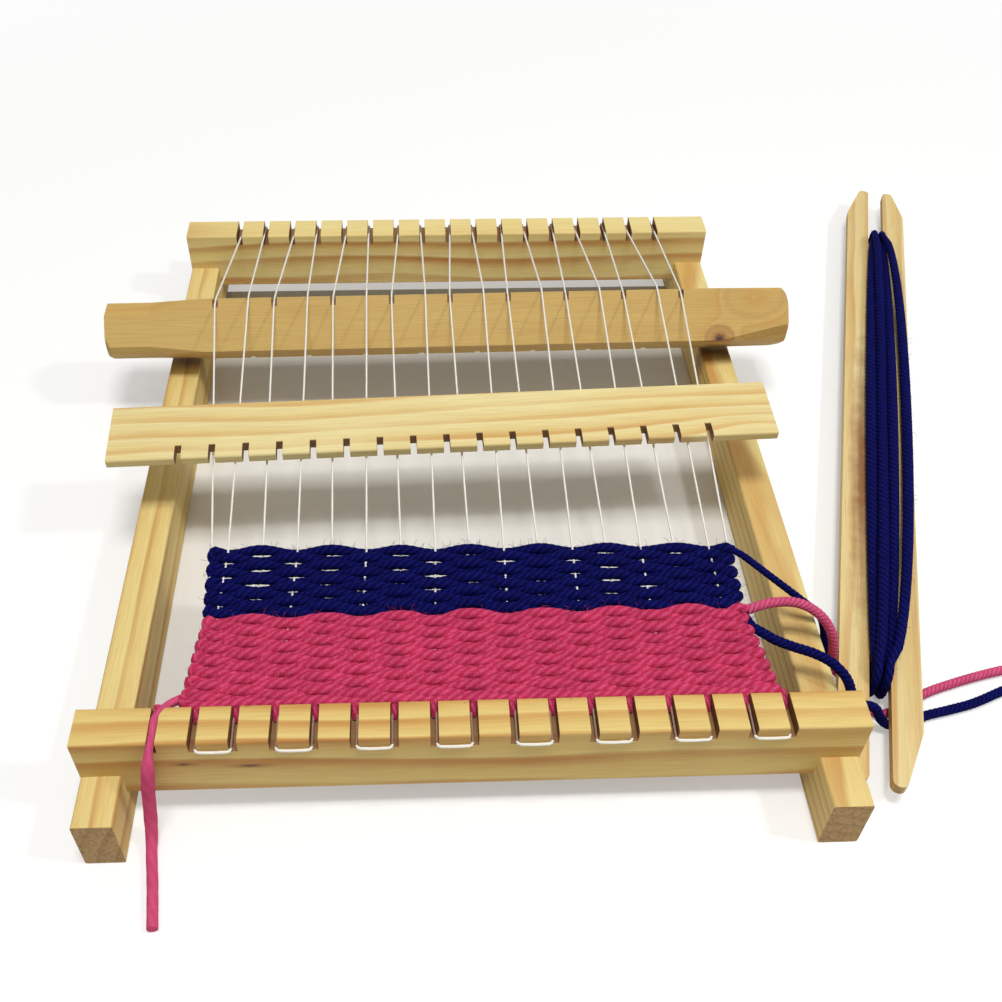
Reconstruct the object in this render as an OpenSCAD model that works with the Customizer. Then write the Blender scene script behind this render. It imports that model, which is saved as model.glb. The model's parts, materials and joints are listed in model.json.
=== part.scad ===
// Small wooden weaving loom with a turning heddle bar, a comb beater, a stick shuttle
// and a half-woven band of yarn on its warp. Lengths are in millimetres.
// The frame is laid out from the middle of the front beam's front face at table level:
// X runs along the beams, Y towards the back beam and Z up.

/* [Frame] */
// Length of the front and back beams
beam_len = 250; // [240:1:300]
// Thickness of a beam, front to back
beam_depth = 14; // [12:0.5:18]
// Height of a beam
beam_high = 27.5; // [24:0.5:34]
// Clear distance between the two beams
beam_gap = 270; // [255:1:310]
// Width of a side rail
rail_w = 13; // [11:0.5:15]
// Height of a side rail
rail_high = 22.5; // [20:0.5:26]
// How far the rails stand out past each beam
rail_nose = 18; // [8:1:30]
// Depth of the half lap, shared by rail and beam
lap = 10; // [6:0.5:12]
// Rounding along the edges of rails, beams and comb
edge_r = 0.9; // [0.4:0.1:1.4]

/* [Warp slots] */
// Number of slots in each beam
slots = 17; // [13:2:17]
// Distance from slot to slot
pitch = 12.5; // [11.5:0.1:12.8]
// Width of a saw slot
slot_w = 2.6; // [2.2:0.1:3]
// Depth of a saw slot
slot_d = 4.8; // [4:0.1:6]

/* [Frame screws] */
// Shank diameter
screw_d = 3.6; // [3:0.1:4]
// Length of a screw with its head
screw_len = 30; // [26:0.5:32]
// Diameter of the countersunk head
head_d = 7.4; // [6.5:0.1:8]

/* [Heddle bar] */
// Side of the square bar
bar_s = 22.5; // [21:0.5:23]
// Length of the bar
bar_len = 294; // [285:1:320]
// Middle of the bar, from the middle of the loom
bar_x = -1.4; // [-3:0.1:3]
// Middle of the bar, from the front of the loom
bar_y = 213.9; // [200:0.1:225]
// Turn of the bar on the rails, in degrees
bar_yaw = 0.75; // [-1:0.05:1]
// Width of a warp notch
notch_w = 2.3; // [2.1:0.1:3]
// Depth of a warp notch below the corner
notch_d = 2.5; // [2:0.1:3.5]
// Length of the flat part of the left grip's chamfer
grip_flat = 19; // [10:1:22]
// Length over which that chamfer runs out
grip_runout = 23; // [12:1:26]

/* [Comb] */
// Length of the comb
comb_len = 252.5; // [250:0.5:290]
// Width of the comb, front to back
comb_w = 27.7; // [24:0.1:34]
// Thickness of the comb
comb_t = 4; // [3:0.1:5]
// Width of the gaps between teeth
comb_slot_w = 2.4; // [2:0.1:3]
// Length of the teeth
comb_slot_d = 6.1; // [5:0.1:9]
// Middle of the comb, from the middle of the loom
comb_x = -5.7; // [-8:0.1:8]
// Middle of the comb, from the front of the loom
comb_y = 133.8; // [128:0.1:140]
// Turn of the comb on the warp, in degrees
comb_yaw = 2; // [0:0.1:3]

/* [Shuttle] */
// Length of the stick
stick_len = 385.5; // [370:0.5:410]
// Width of the stick
stick_w = 28.8; // [26:0.1:31]
// Thickness of the stick
stick_t = 4; // [3.6:0.1:4.6]
// Width of the fork slots
fork_w = 7.6; // [7.5:0.1:9]
// Depth of the fork slots
fork_d = 54; // [50:0.5:60]
// Length of the slanted outer edge of a prong
prong_slant = 24; // [20:0.5:30]
// Radius of a prong's tip
prong_r = 2.6; // [2.2:0.1:3]

/* [Yarns] */
// Diameter of the cotton warp
warp_d = 1.2; // [0.9:0.1:1.4]
// Diameter of the loose yarn ends
yarn_d = 3.6; // [3.2:0.1:3.8]
// Diameter of the yarn pulled tight on the shuttle
wound_d = 3.2; // [2.8:0.1:3.3]
// Thickness of the woven band
band_t = 5.4; // [4.6:0.1:6]

/* [Hidden] */
$fn = 48;

// Clear gap between soft yarn and the piece that it lies against
rest_gap = 0.3;
// Room that a screw has in its hole, on the radius
screw_fit = 0.05;
// Length that a cutter runs past the face that it opens
past = 1;

// Frame
back_y = beam_depth + beam_gap;
loom_y = back_y + beam_depth;
rail_len = loom_y + 2 * rail_nose;
rail_x = (beam_len - rail_w) / 2;
beam_z = rail_high - lap;
lap_z = rail_high - lap / 2;
loom_z = beam_z + beam_high;
mid_slot = (slots - 1) / 2;
function slot_x(i) = (i - mid_slot) * pitch;

// Screws
screw_sink = 0.4;
head_h = (head_d - screw_d) / 2;
tip_h = 5;
cross_w = 0.9;
cross_d = 1.4;

// Heddle bar, standing on its corner on the rails and free to turn
bar_h = bar_s / sqrt(2);
bar_z = rail_high + bar_h + rest_gap;
bar_top = bar_z + bar_h;
end_bevel = 4;
// Depth of the chamfer on the top, front, bottom and back corner of each grip
left_grip = [4.7, 1.9, 4.7, 1.9];
right_grip = [1.5, 4.3, 1.5, 4.3];
// The right grip's chamfers run out over nearly their whole length
right_flat = 2;
right_runout = 28;

// Warp: one string from the first front slot to the last back slot
warp_r = warp_d / 2;
warp_low = loom_z - slot_d + 0.2 + warp_r;
face_gap = 0.2;
front_face = -face_gap - warp_r;
back_face = loom_y + face_gap + warp_r;
knot_r = 1.7;
low_warp_z = bar_top - notch_d + rest_gap + warp_r;
high_warp_z = bar_top + rest_gap + 0.1 + warp_r;
// Sideways shift of the warps that ride free on the bar
free_shift = 1.9;
function rides_high(i) = i % 2 == 1;
function bar_warp_z(i) = rides_high(i) ? high_warp_z : low_warp_z;
function bar_warp_x(i) = bar_x + slot_x(i) + (rides_high(i) ? free_shift : 0);
function bar_warp_y(i) = bar_y + (bar_warp_x(i) - bar_x) * tan(bar_yaw);

// Woven band: its front edge, the change of colour and its last row
band_front = beam_depth + 2.5;
band_change = 49;
fell_left = 78.5;
fell_right = 75.5;
band_left_edge = [[band_front, -94.8], [33, -92.6], [band_change, -90.4], [fell_left, -91.4]];
band_right_edge = [[band_front, 101.2], [33, 98], [band_change, 95.3], [fell_left, 95.6]];
fell_mid = 1.5;
fell_pitch = 12.1;
selvage = 2.2;
mean_slope = ((low_warp_z + high_warp_z) / 2 - warp_low) / (bar_y - front_face);
function band_z(y) = warp_low + mean_slope * (y - front_face);
function mix(a, b, t) = a + (b - a) * t;
function woven_x(i, y) =
    let (t = min(1, y / fell_left), x = mix(slot_x(i), fell_mid + (i - mid_slot) * fell_pitch, t))
    max(lookup(y, band_left_edge) + selvage, min(lookup(y, band_right_edge) - selvage, x));

// Comb, lying on the raised warps
comb_tilt = atan((high_warp_z - warp_low) / (bar_y - front_face));
comb_z = warp_low + (comb_y - front_face) * tan(comb_tilt) + (warp_r + rest_gap + 0.1) / cos(comb_tilt);

// Shuttle, lying beside the loom on the underside of its own winding. Its near end is this far
// from the right rail's outer face to the middle of the stick.
beside_rail = 9.3;
shuttle_x = beam_len / 2 + beside_rail;
shuttle_y = -3.4;
shuttle_yaw = 15.9;
lay_gap = 0.6;
layer = wound_d + lay_gap;
stick_z = rest_gap + wound_d + layer;
column = layer / 2;
// Times that the yarn goes round the shuttle, in two rows and two columns
wound_loops = 4;
prong_tip_x = fork_w / 2 + prong_r;
slant_x = stick_w / 2;
turn_r = 2;
far_slot_pass = stick_len - fork_d + rest_gap + wound_d / 2;
// The winding is slack at the near fork, where it lies this far outside the slot's end
near_slack = 7.3;
near_slot_pass = fork_d - near_slack - rest_gap - wound_d / 2;

// Middle of the whole object, which is the origin of the part
far_tip = [prong_tip_x, stick_len - prong_r];
far_x = shuttle_x + far_tip.x * cos(shuttle_yaw) + far_tip.y * sin(shuttle_yaw) + prong_r;
far_y = shuttle_y + far_tip.x * sin(shuttle_yaw) + far_tip.y * cos(shuttle_yaw) + prong_r;
mid_x = (bar_x - bar_len / 2 * cos(bar_yaw) + far_x) / 2;
mid_y = (far_y - rail_nose) / 2;

// Routes of the loose yarns, from the band to the cut end
pink_front_route = [[-93, 18.5, 38], [-97, 15, 38.9], [-99.8, 10.5, 39.3], [-100, 4, 39.2],
    [-100.6, -2.4, 38.6], [-101.3, -5.6, 36], [-101.8, -6.2, 30.5], [-102.4, -6.5, 23.5],
    [-103.2, -7.2, 16.5], [-103.9, -8.6, 9.5], [-104.2, -11.4, 4.2], [-103.9, -16.5, 1.9],
    [-102.5, -24.5, 1.9], [-101.2, -33, 1.9], [-100, -41.5, 1.9]];
pink_side_route = [[94.6, 47.2, 40.8], [98.4, 48.2, 41.4], [103, 49.4, 41.5], [109, 50.6, 40.6],
    [114.5, 51, 38.8], [119.5, 50.4, 36], [124, 49, 32], [127.4, 47.6, 26.5],
    [129.6, 47, 19.5], [131, 47.6, 12.5], [131.6, 49, 6.6], [132.8, 50, 3.4],
    [135, 49.4, 2], [137.4, 46, 1.9], [138.8, 41, 1.9], [140, 36, 1.9], [142.4, 31.8, 1.9],
    [146.4, 29.8, 1.9], [151.5, 31, 1.9], [158, 34.6, 1.9], [166, 38.6, 1.9],
    [177, 42.4, 1.9], [189, 45.8, 1.9], [201, 48.6, 1.9]];
navy_working_route = [[94.8, 73.2, 42.4], [97.6, 70.8, 42.4], [101, 67.6, 41.6], [107, 63, 39.2],
    [113, 59.6, 36], [119, 57.4, 31.8], [125.2, 56.1, 26.4], [128.8, 55.6, 18.5],
    [130.4, 55.2, 11.5], [131.6, 55, 6.8], [133.2, 54.8, 4.2], [135.6, 55.4, 3.4],
    [137.8, 57.4, 4.1], [139.2, 60.2, 4.8], [140, 63, 5.2]];
navy_start_route = [[95.4, 40.6, 39.4], [98.2, 38.8, 39.1], [102, 36.6, 38], [109, 34.8, 35.8],
    [116, 33.2, 34], [122, 30.6, 31.8], [126.4, 26.8, 28.6], [129, 24.8, 23],
    [130.4, 24.5, 18], [132.4, 25.2, 14.9], [135.4, 25.6, 13.9], [138.2, 25.4, 13.8],
    [140.6, 25, 12.2], [142.2, 24.6, 9.3], [143.9, 24.5, 6.3], [146.4, 24.2, 4.1],
    [150, 24.4, 2.6], [155, 25.8, 1.9], [162, 28.6, 1.9], [172, 31, 1.9], [181, 33.4, 1.9],
    [191, 37.4, 1.9], [201, 41.6, 1.9]];
yarn_sides = 8;
string_sides = 6;

navy = "#0a0a55";
pink = "#d0446c";
cotton = "#ece9e2";
pine = "#dcc184";
steel = "#b9b9b4";

// Moves a piece from the loom's own layout to the part's origin
module placed() {
    translate([-mid_x, -mid_y, 0])
        children();
}

// A rectangle with rounded corners, from the origin
module soft_rect(w, h, r) {
    translate([r, 0])
        square([w - 2 * r, h]);
    translate([0, r])
        square([w, h - 2 * r]);
    for (x = [r, w - r])
        for (y = [r, h - r])
            translate([x, y])
                circle(r);
}

// A tube of even thickness along a path, with its ring turned no more than the path bends
function unit(v) = v / norm(v);
function heading(path, k) = let (last = len(path) - 1)
    unit(unit(path[min(last, k + 1)] - path[min(last - 1, k)])
        + unit(path[max(1, k)] - path[max(0, k - 1)]));
function square_to(v, t) = unit(v - (v * t) * t);
function ring_tops(path) = [
    for (k = 0, n = square_to([0.1, 0.2, 1], heading(path, 0)); k < len(path);
        k = k + 1, n = k < len(path) ? square_to(n, heading(path, k)) : n) n];
module tube(path, d, sides) {
    tops = ring_tops(path);
    count = len(path);
    points = [
        for (k = [0:count - 1])
            let (t = heading(path, k), side = cross(t, tops[k]))
                for (s = [0:sides - 1])
                    path[k] + d / 2 * (cos(360 * s / sides) * tops[k] + sin(360 * s / sides) * side)];
    walls = [
        for (k = [0:count - 2])
            for (s = [0:sides - 1])
                let (a = k * sides + s, b = k * sides + (s + 1) % sides)
                    each [[a, a + sides, b], [b, a + sides, b + sides]]];
    first = [for (s = [1:sides - 2]) [0, s, s + 1]];
    last = [for (s = [1:sides - 2]) [0, s + 1, s] + (count - 1) * sides * [1, 1, 1]];
    polyhedron(points = points, faces = concat(walls, first, last));
}

// Least clear gap between parts of one tube that lie more than a given length apart along it
function filled(path, parts) = [
    for (k = [0:len(path) - 2])
        for (s = [0:parts - 1])
            mix(path[k], path[k + 1], s / parts)];
function run_lengths(p) = [
    for (k = 0, l = 0; k < len(p); k = k + 1, l = k < len(p) ? l + norm(p[k] - p[k - 1]) : l) l];
function least_gap(path, d, parts, apart) =
    let (p = filled(path, parts), run = run_lengths(p))
    min([for (a = [0:len(p) - 1])
        for (b = [a + 1:len(p) - 1])
            if (run[b] - run[a] > apart) norm(p[a] - p[b])]) - d;

// Side rail with its two lap notches and countersunk screw holes, at the given X
module rail(x) {
    color(pine)
        placed()
            difference() {
                translate([x - rail_w / 2, loom_y + rail_nose, 0])
                    rotate([90, 0, 0])
                        linear_extrude(rail_len)
                            soft_rect(rail_w, rail_high, edge_r);
                for (y = [0, back_y]) {
                    translate([x - rail_w / 2 - past, y, lap_z])
                        cube([rail_w + 2 * past, beam_depth, lap]);
                    translate([x, y + beam_depth / 2, 0])
                        screw_hole();
                }
            }
}

// Room for one screw, from the underside of a rail up into a beam
module screw_hole() {
    translate([0, 0, -past])
        cylinder(d = head_d + 2 * screw_fit, h = past + screw_sink);
    translate([0, 0, screw_sink])
        cylinder(d1 = head_d + 2 * screw_fit, d2 = screw_d + 2 * screw_fit, h = head_h);
    translate([0, 0, screw_sink])
        cylinder(d = screw_d + 2 * screw_fit, h = screw_len + screw_fit);
}

// Wood screw with a cross recess, driven from below at the given place
module screw(x, y) {
    shank_h = screw_len - head_h - tip_h;
    color(steel)
        placed()
            translate([x, y + beam_depth / 2, screw_sink])
                difference() {
                    rotate_extrude()
                        polygon([[0, 0], [head_d / 2, 0], [screw_d / 2, head_h],
                            [screw_d / 2, head_h + shank_h], [0.2, screw_len], [0, screw_len]]);
                    for (a = [0, 90])
                        rotate([0, 0, a])
                            translate([-head_d / 4, -cross_w / 2, -past])
                                cube([head_d / 2, cross_w, cross_d + past]);
                }
}

// Beam with its row of warp slots, half-lapped on the rails, at the given Y
module beam(y) {
    color(pine)
        placed()
            difference() {
                translate([-beam_len / 2, y, beam_z])
                    rotate([90, 0, 90])
                        linear_extrude(beam_len)
                            soft_rect(beam_depth, beam_high, edge_r);
                for (side = [-1, 1]) {
                    translate([side * rail_x - rail_w / 2 - past * (1 - side) / 2, y - past, beam_z - past])
                        cube([rail_w + past, beam_depth + 2 * past, lap / 2 + past]);
                    translate([side * rail_x, y + beam_depth / 2, 0])
                        screw_hole();
                }
                for (i = [0:slots - 1])
                    translate([slot_x(i) - slot_w / 2, y - past, loom_z - slot_d])
                        cube([slot_w, beam_depth + 2 * past, slot_d + past]);
            }
}

// Cutter that chamfers the top corner of a bar lying along X from its end at the origin
module grip_cut(depth, flat, runout) {
    slope = atan(depth / runout);
    translate([-past, -bar_s, bar_h - depth])
        cube([flat + past, 2 * bar_s, depth + past]);
    translate([flat, -bar_s, bar_h - depth])
        rotate([0, -slope, 0])
            cube([runout + past, 2 * bar_s, depth + past]);
}

// Square bar on its corner. Every other string has a notch on the top corner and the strings
// between have theirs on the corner below, so that half a turn changes the shed.
module heddle_bar() {
    color(pine)
        placed()
            translate([bar_x, bar_y, bar_z])
                rotate([0, 0, bar_yaw])
                    difference() {
                        intersection() {
                            rotate([45, 0, 0])
                                cube([bar_len, bar_s, bar_s], center = true);
                            rotate([0, 90, 0])
                                rotate_extrude()
                                    polygon([[0, -bar_len / 2], [bar_h - end_bevel, -bar_len / 2],
                                        [bar_h + past, end_bevel + past - bar_len / 2],
                                        [bar_h + past, bar_len / 2 - end_bevel - past],
                                        [bar_h - end_bevel, bar_len / 2], [0, bar_len / 2]]);
                        }
                        for (corner = [0:3])
                            rotate([90 * corner, 0, 0]) {
                                translate([-bar_len / 2, 0, 0])
                                    grip_cut(left_grip[corner], grip_flat, grip_runout);
                                translate([bar_len / 2, 0, 0])
                                    mirror([1, 0, 0])
                                        grip_cut(right_grip[corner], right_flat, right_runout);
                                if (corner % 2 == 0)
                                    for (i = [corner / 2:2:slots - 1])
                                        translate([slot_x(i) - notch_w / 2, -bar_s, bar_h - notch_d])
                                            cube([notch_w, 2 * bar_s, notch_d + past]);
                            }
                    }
}

// Comb: a flat board with a row of saw slots along its front edge
module comb() {
    color(pine)
        placed()
            translate([comb_x, comb_y, comb_z])
                rotate([comb_tilt, 0, 0])
                    rotate([0, 0, comb_yaw])
                        difference() {
                            translate([-comb_len / 2, -comb_w / 2, 0])
                                rotate([90, 0, 90])
                                    linear_extrude(comb_len)
                                        soft_rect(comb_w, comb_t, edge_r);
                            for (i = [0:slots - 1])
                                translate([slot_x(i) - comb_slot_w / 2, -comb_w / 2 - past, -past])
                                    cube([comb_slot_w, comb_slot_d + past, comb_t + 2 * past]);
                        }
}

// Places a piece in the shuttle's own layout: its near end at the origin, Y along the stick
module on_shuttle() {
    placed()
        translate([shuttle_x, shuttle_y, 0])
            rotate([0, 0, -shuttle_yaw])
                children();
}

// Outline of the right prong's end, with a slanted outer edge that meets a round tip
module prong() {
    centre = [prong_tip_x, prong_r];
    corner = [slant_x, prong_slant];
    out = corner - centre;
    touch = atan2(out.y, out.x) - acos(prong_r / norm(out));
    polygon([centre - [prong_r, 0], centre - [0, prong_r],
        centre + prong_r * [cos(touch), sin(touch)], corner, [fork_w / 2, prong_slant]]);
    translate(centre)
        circle(prong_r);
}

module shuttle() {
    color(pine)
        on_shuttle()
            translate([0, 0, stick_z])
                linear_extrude(stick_t)
                    difference() {
                        union() {
                            translate([-stick_w / 2, prong_slant])
                                square([stick_w, stick_len - 2 * prong_slant]);
                            for (side = [0, 1])
                                mirror([side, 0])
                                    for (end = [0, 1])
                                        translate([0, end * stick_len])
                                            mirror([0, end])
                                                prong();
                        }
                        for (y = [prong_slant - past, stick_len - fork_d])
                            translate([-fork_w / 2, y])
                                square([fork_w, fork_d - prong_slant + past]);
                    }
}

// The yarn's way round the shuttle. A pass goes through a fork slot in one of two columns and
// one of two rows, and the outer row lies one layer further from the stick.
top_z = stick_z + stick_t + rest_gap + wound_d / 2;
under_z = stick_z - rest_gap - wound_d / 2;
function column_x(k) = (k < 2 ? -1 : 1) * column;
function row(k) = k % 2;
function pass_y(k, far) = far ? far_slot_pass + row(k) * layer : near_slot_pass - row(k) * layer;
// One lengthwise run between two passes: it bows sideways and drops to the stick midway
run_at = [0, 0.15, 0.35, 0.65, 0.85, 1];
function run_points(from, to, far_first, bow, z, up, last) = [
    for (s = [0:last])
        let (t = run_at[s], b = sqrt(sin(180 * t)),
            x = mix(mix(column_x(from), column_x(to), t), bow, b),
            high = (t < 0.5 ? row(from) : row(to)) * pow(cos(180 * t), 2),
            y0 = pass_y(from, far_first) + (far_first ? -1 : 1) * (turn_r + row(from) * layer),
            y1 = pass_y(to, !far_first) + (far_first ? 1 : -1) * (turn_r + row(to) * layer))
        [x, mix(y0, y1, t), z + up * high * layer]];
// The bend into the slot and out on the other face, with the same centre for both rows
function bend_points(k, far, down) =
    let (r = turn_r + row(k) * layer, y = pass_y(k, far) + (far ? -r : r), out = far ? r : -r,
        upper = [for (a = [30, 60, 90])
            [column_x(k), y + out * sin(a), top_z - turn_r + r * cos(a)]],
        lower = [for (a = [90, 60, 30])
            [column_x(k), y + out * sin(a), under_z + turn_r - r * cos(a)]])
    down ? concat(upper, lower) : backwards(concat(upper, lower));
// Sideways place of each run at mid length, on the upper face and on the underside
top_bow = [-3.5, 1.1, 5.7, 11.6];
under_bow = [0, -1.8, 2.8, 7.4, 12];
// The yarn's start under the stick, where the yarn from the band comes in from the side
start_hook = [[-12.6, 66], [-11.8, 71.5], [-8.6, 74.6], [-5.4, 72], [-4.2, 66], [-3, 56]];
wound_path = concat(
    [for (p = start_hook) [p.x, p.y, under_z]],
    [for (k = [0:wound_loops - 1])
        each concat(
            k == 0 ? [] : run_points(k - 1, k, true, under_bow[k], under_z, -1, 5),
            bend_points(k, false, false),
            run_points(k, k, false, top_bow[k], top_z, 1, 5),
            bend_points(k, true, true))],
    run_points(wound_loops - 1, wound_loops - 1, true, under_bow[4], under_z, -1, 2));

module shuttle_winding() {
    gap = least_gap(wound_path, wound_d, 4, 3 * wound_d);
    echo(str("shuttle_winding: least gap to itself ", gap, " mm"));
    color(navy)
        on_shuttle()
            tube(wound_path, wound_d, string_sides);
}

// The warp: each run goes through a front slot, the band, over the bar and a back slot, and
// a short stretch round a tooth joins it to the next
function warp_run(i) =
    let (z_bar = bar_warp_z(i), y_bar = bar_warp_y(i), x_bar = bar_warp_x(i),
        seat = rides_high(i) ? 0.8 : notch_d + 0.1,
        rise = (z_bar - warp_low) / (y_bar - seat - front_face),
        fall = (z_bar - warp_low) / (back_face - y_bar - seat))
    concat(
        [[slot_x(i), past, warp_low + rise * (past - front_face)],
            [slot_x(i), beam_depth, warp_low + rise * (beam_depth - front_face)]],
        [for (y = [band_front + 2, band_change, fell_right])
            [woven_x(i, y), y, warp_low + rise * (y - front_face)]],
        [[x_bar, y_bar - seat, z_bar], [x_bar, y_bar + seat, z_bar],
            [slot_x(i), back_y, warp_low + fall * (back_face - back_y)],
            [slot_x(i), loom_y - past, warp_low + fall * (back_face - loom_y + past)]]);
function backwards(list) = [for (k = [len(list) - 1:-1:0]) list[k]];
function tooth_turn(i, face) = [
    [slot_x(i) + 0.4, face, warp_low], [slot_x(i + 1) - 0.4, face, warp_low]];
warp_path = concat(
    [[slot_x(0), front_face - knot_r, warp_low]],
    [for (i = [0:slots - 1])
        each concat(
            i % 2 == 0 ? warp_run(i) : backwards(warp_run(i)),
            i == slots - 1 ? [] : tooth_turn(i, i % 2 == 0 ? back_face : front_face))],
    [[slot_x(slots - 1), back_face + knot_r, warp_low]]);

module warp_string() {
    gap = least_gap(warp_path, warp_d, 3, 6 * warp_d);
    echo(str("warp_string: least gap to itself ", gap, " mm"));
    color(cotton)
        placed() {
            tube(warp_path, warp_d, string_sides);
            for (end = [[slot_x(0), front_face - knot_r, warp_low],
                    [slot_x(slots - 1), back_face + knot_r, warp_low]])
                translate(end)
                    sphere(r = knot_r, $fn = 8);
        }
}

// A stretch of the woven band in the plane of the warp, between two rows of its outline
module woven(left, right) {
    placed()
        translate([0, front_face, warp_low])
            rotate([atan(mean_slope), 0, 0])
                translate([0, 0, -band_t / 2])
                    linear_extrude(band_t)
                        polygon([for (p = concat(left, backwards(right)))
                            [p.y, (p.x - front_face) / cos(atan(mean_slope))]]);
}

module pink_band() {
    color(pink)
        woven([for (k = [0:2]) band_left_edge[k]], [for (k = [0:2]) band_right_edge[k]]);
}

module navy_band() {
    color(navy)
        woven([for (k = [2:3]) band_left_edge[k]],
            [band_right_edge[2], [fell_right, band_right_edge[3].y]]);
}

module yarn_end(route, tint) {
    color(tint)
        placed()
            tube(route, yarn_d, yarn_sides);
}

module left_rail() {
    rail(-rail_x);
}

module right_rail() {
    rail(rail_x);
}

module front_beam() {
    beam(0);
}

module back_beam() {
    beam(back_y);
}

module front_left_screw() {
    screw(-rail_x, 0);
}

module front_right_screw() {
    screw(rail_x, 0);
}

module back_left_screw() {
    screw(-rail_x, back_y);
}

module back_right_screw() {
    screw(rail_x, back_y);
}

module pink_front_tail() {
    yarn_end(pink_front_route, pink);
}

module pink_side_tail() {
    yarn_end(pink_side_route, pink);
}

module navy_working_yarn() {
    yarn_end(navy_working_route, navy);
}

module navy_start_tail() {
    yarn_end(navy_start_route, navy);
}

left_rail();
right_rail();
front_beam();
back_beam();
front_left_screw();
front_right_screw();
back_left_screw();
back_right_screw();
heddle_bar();
comb();
shuttle();
shuttle_winding();
warp_string();
pink_band();
navy_band();
pink_front_tail();
pink_side_tail();
navy_working_yarn();
navy_start_tail();
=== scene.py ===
"""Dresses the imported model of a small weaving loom: pine, cotton warp, woven stripes and yarn.

The loom is measured in millimetres from the middle of the front beam's front face, at table
level, as a maker would. Layout turns those measures into the row frame's metres.
"""

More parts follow.
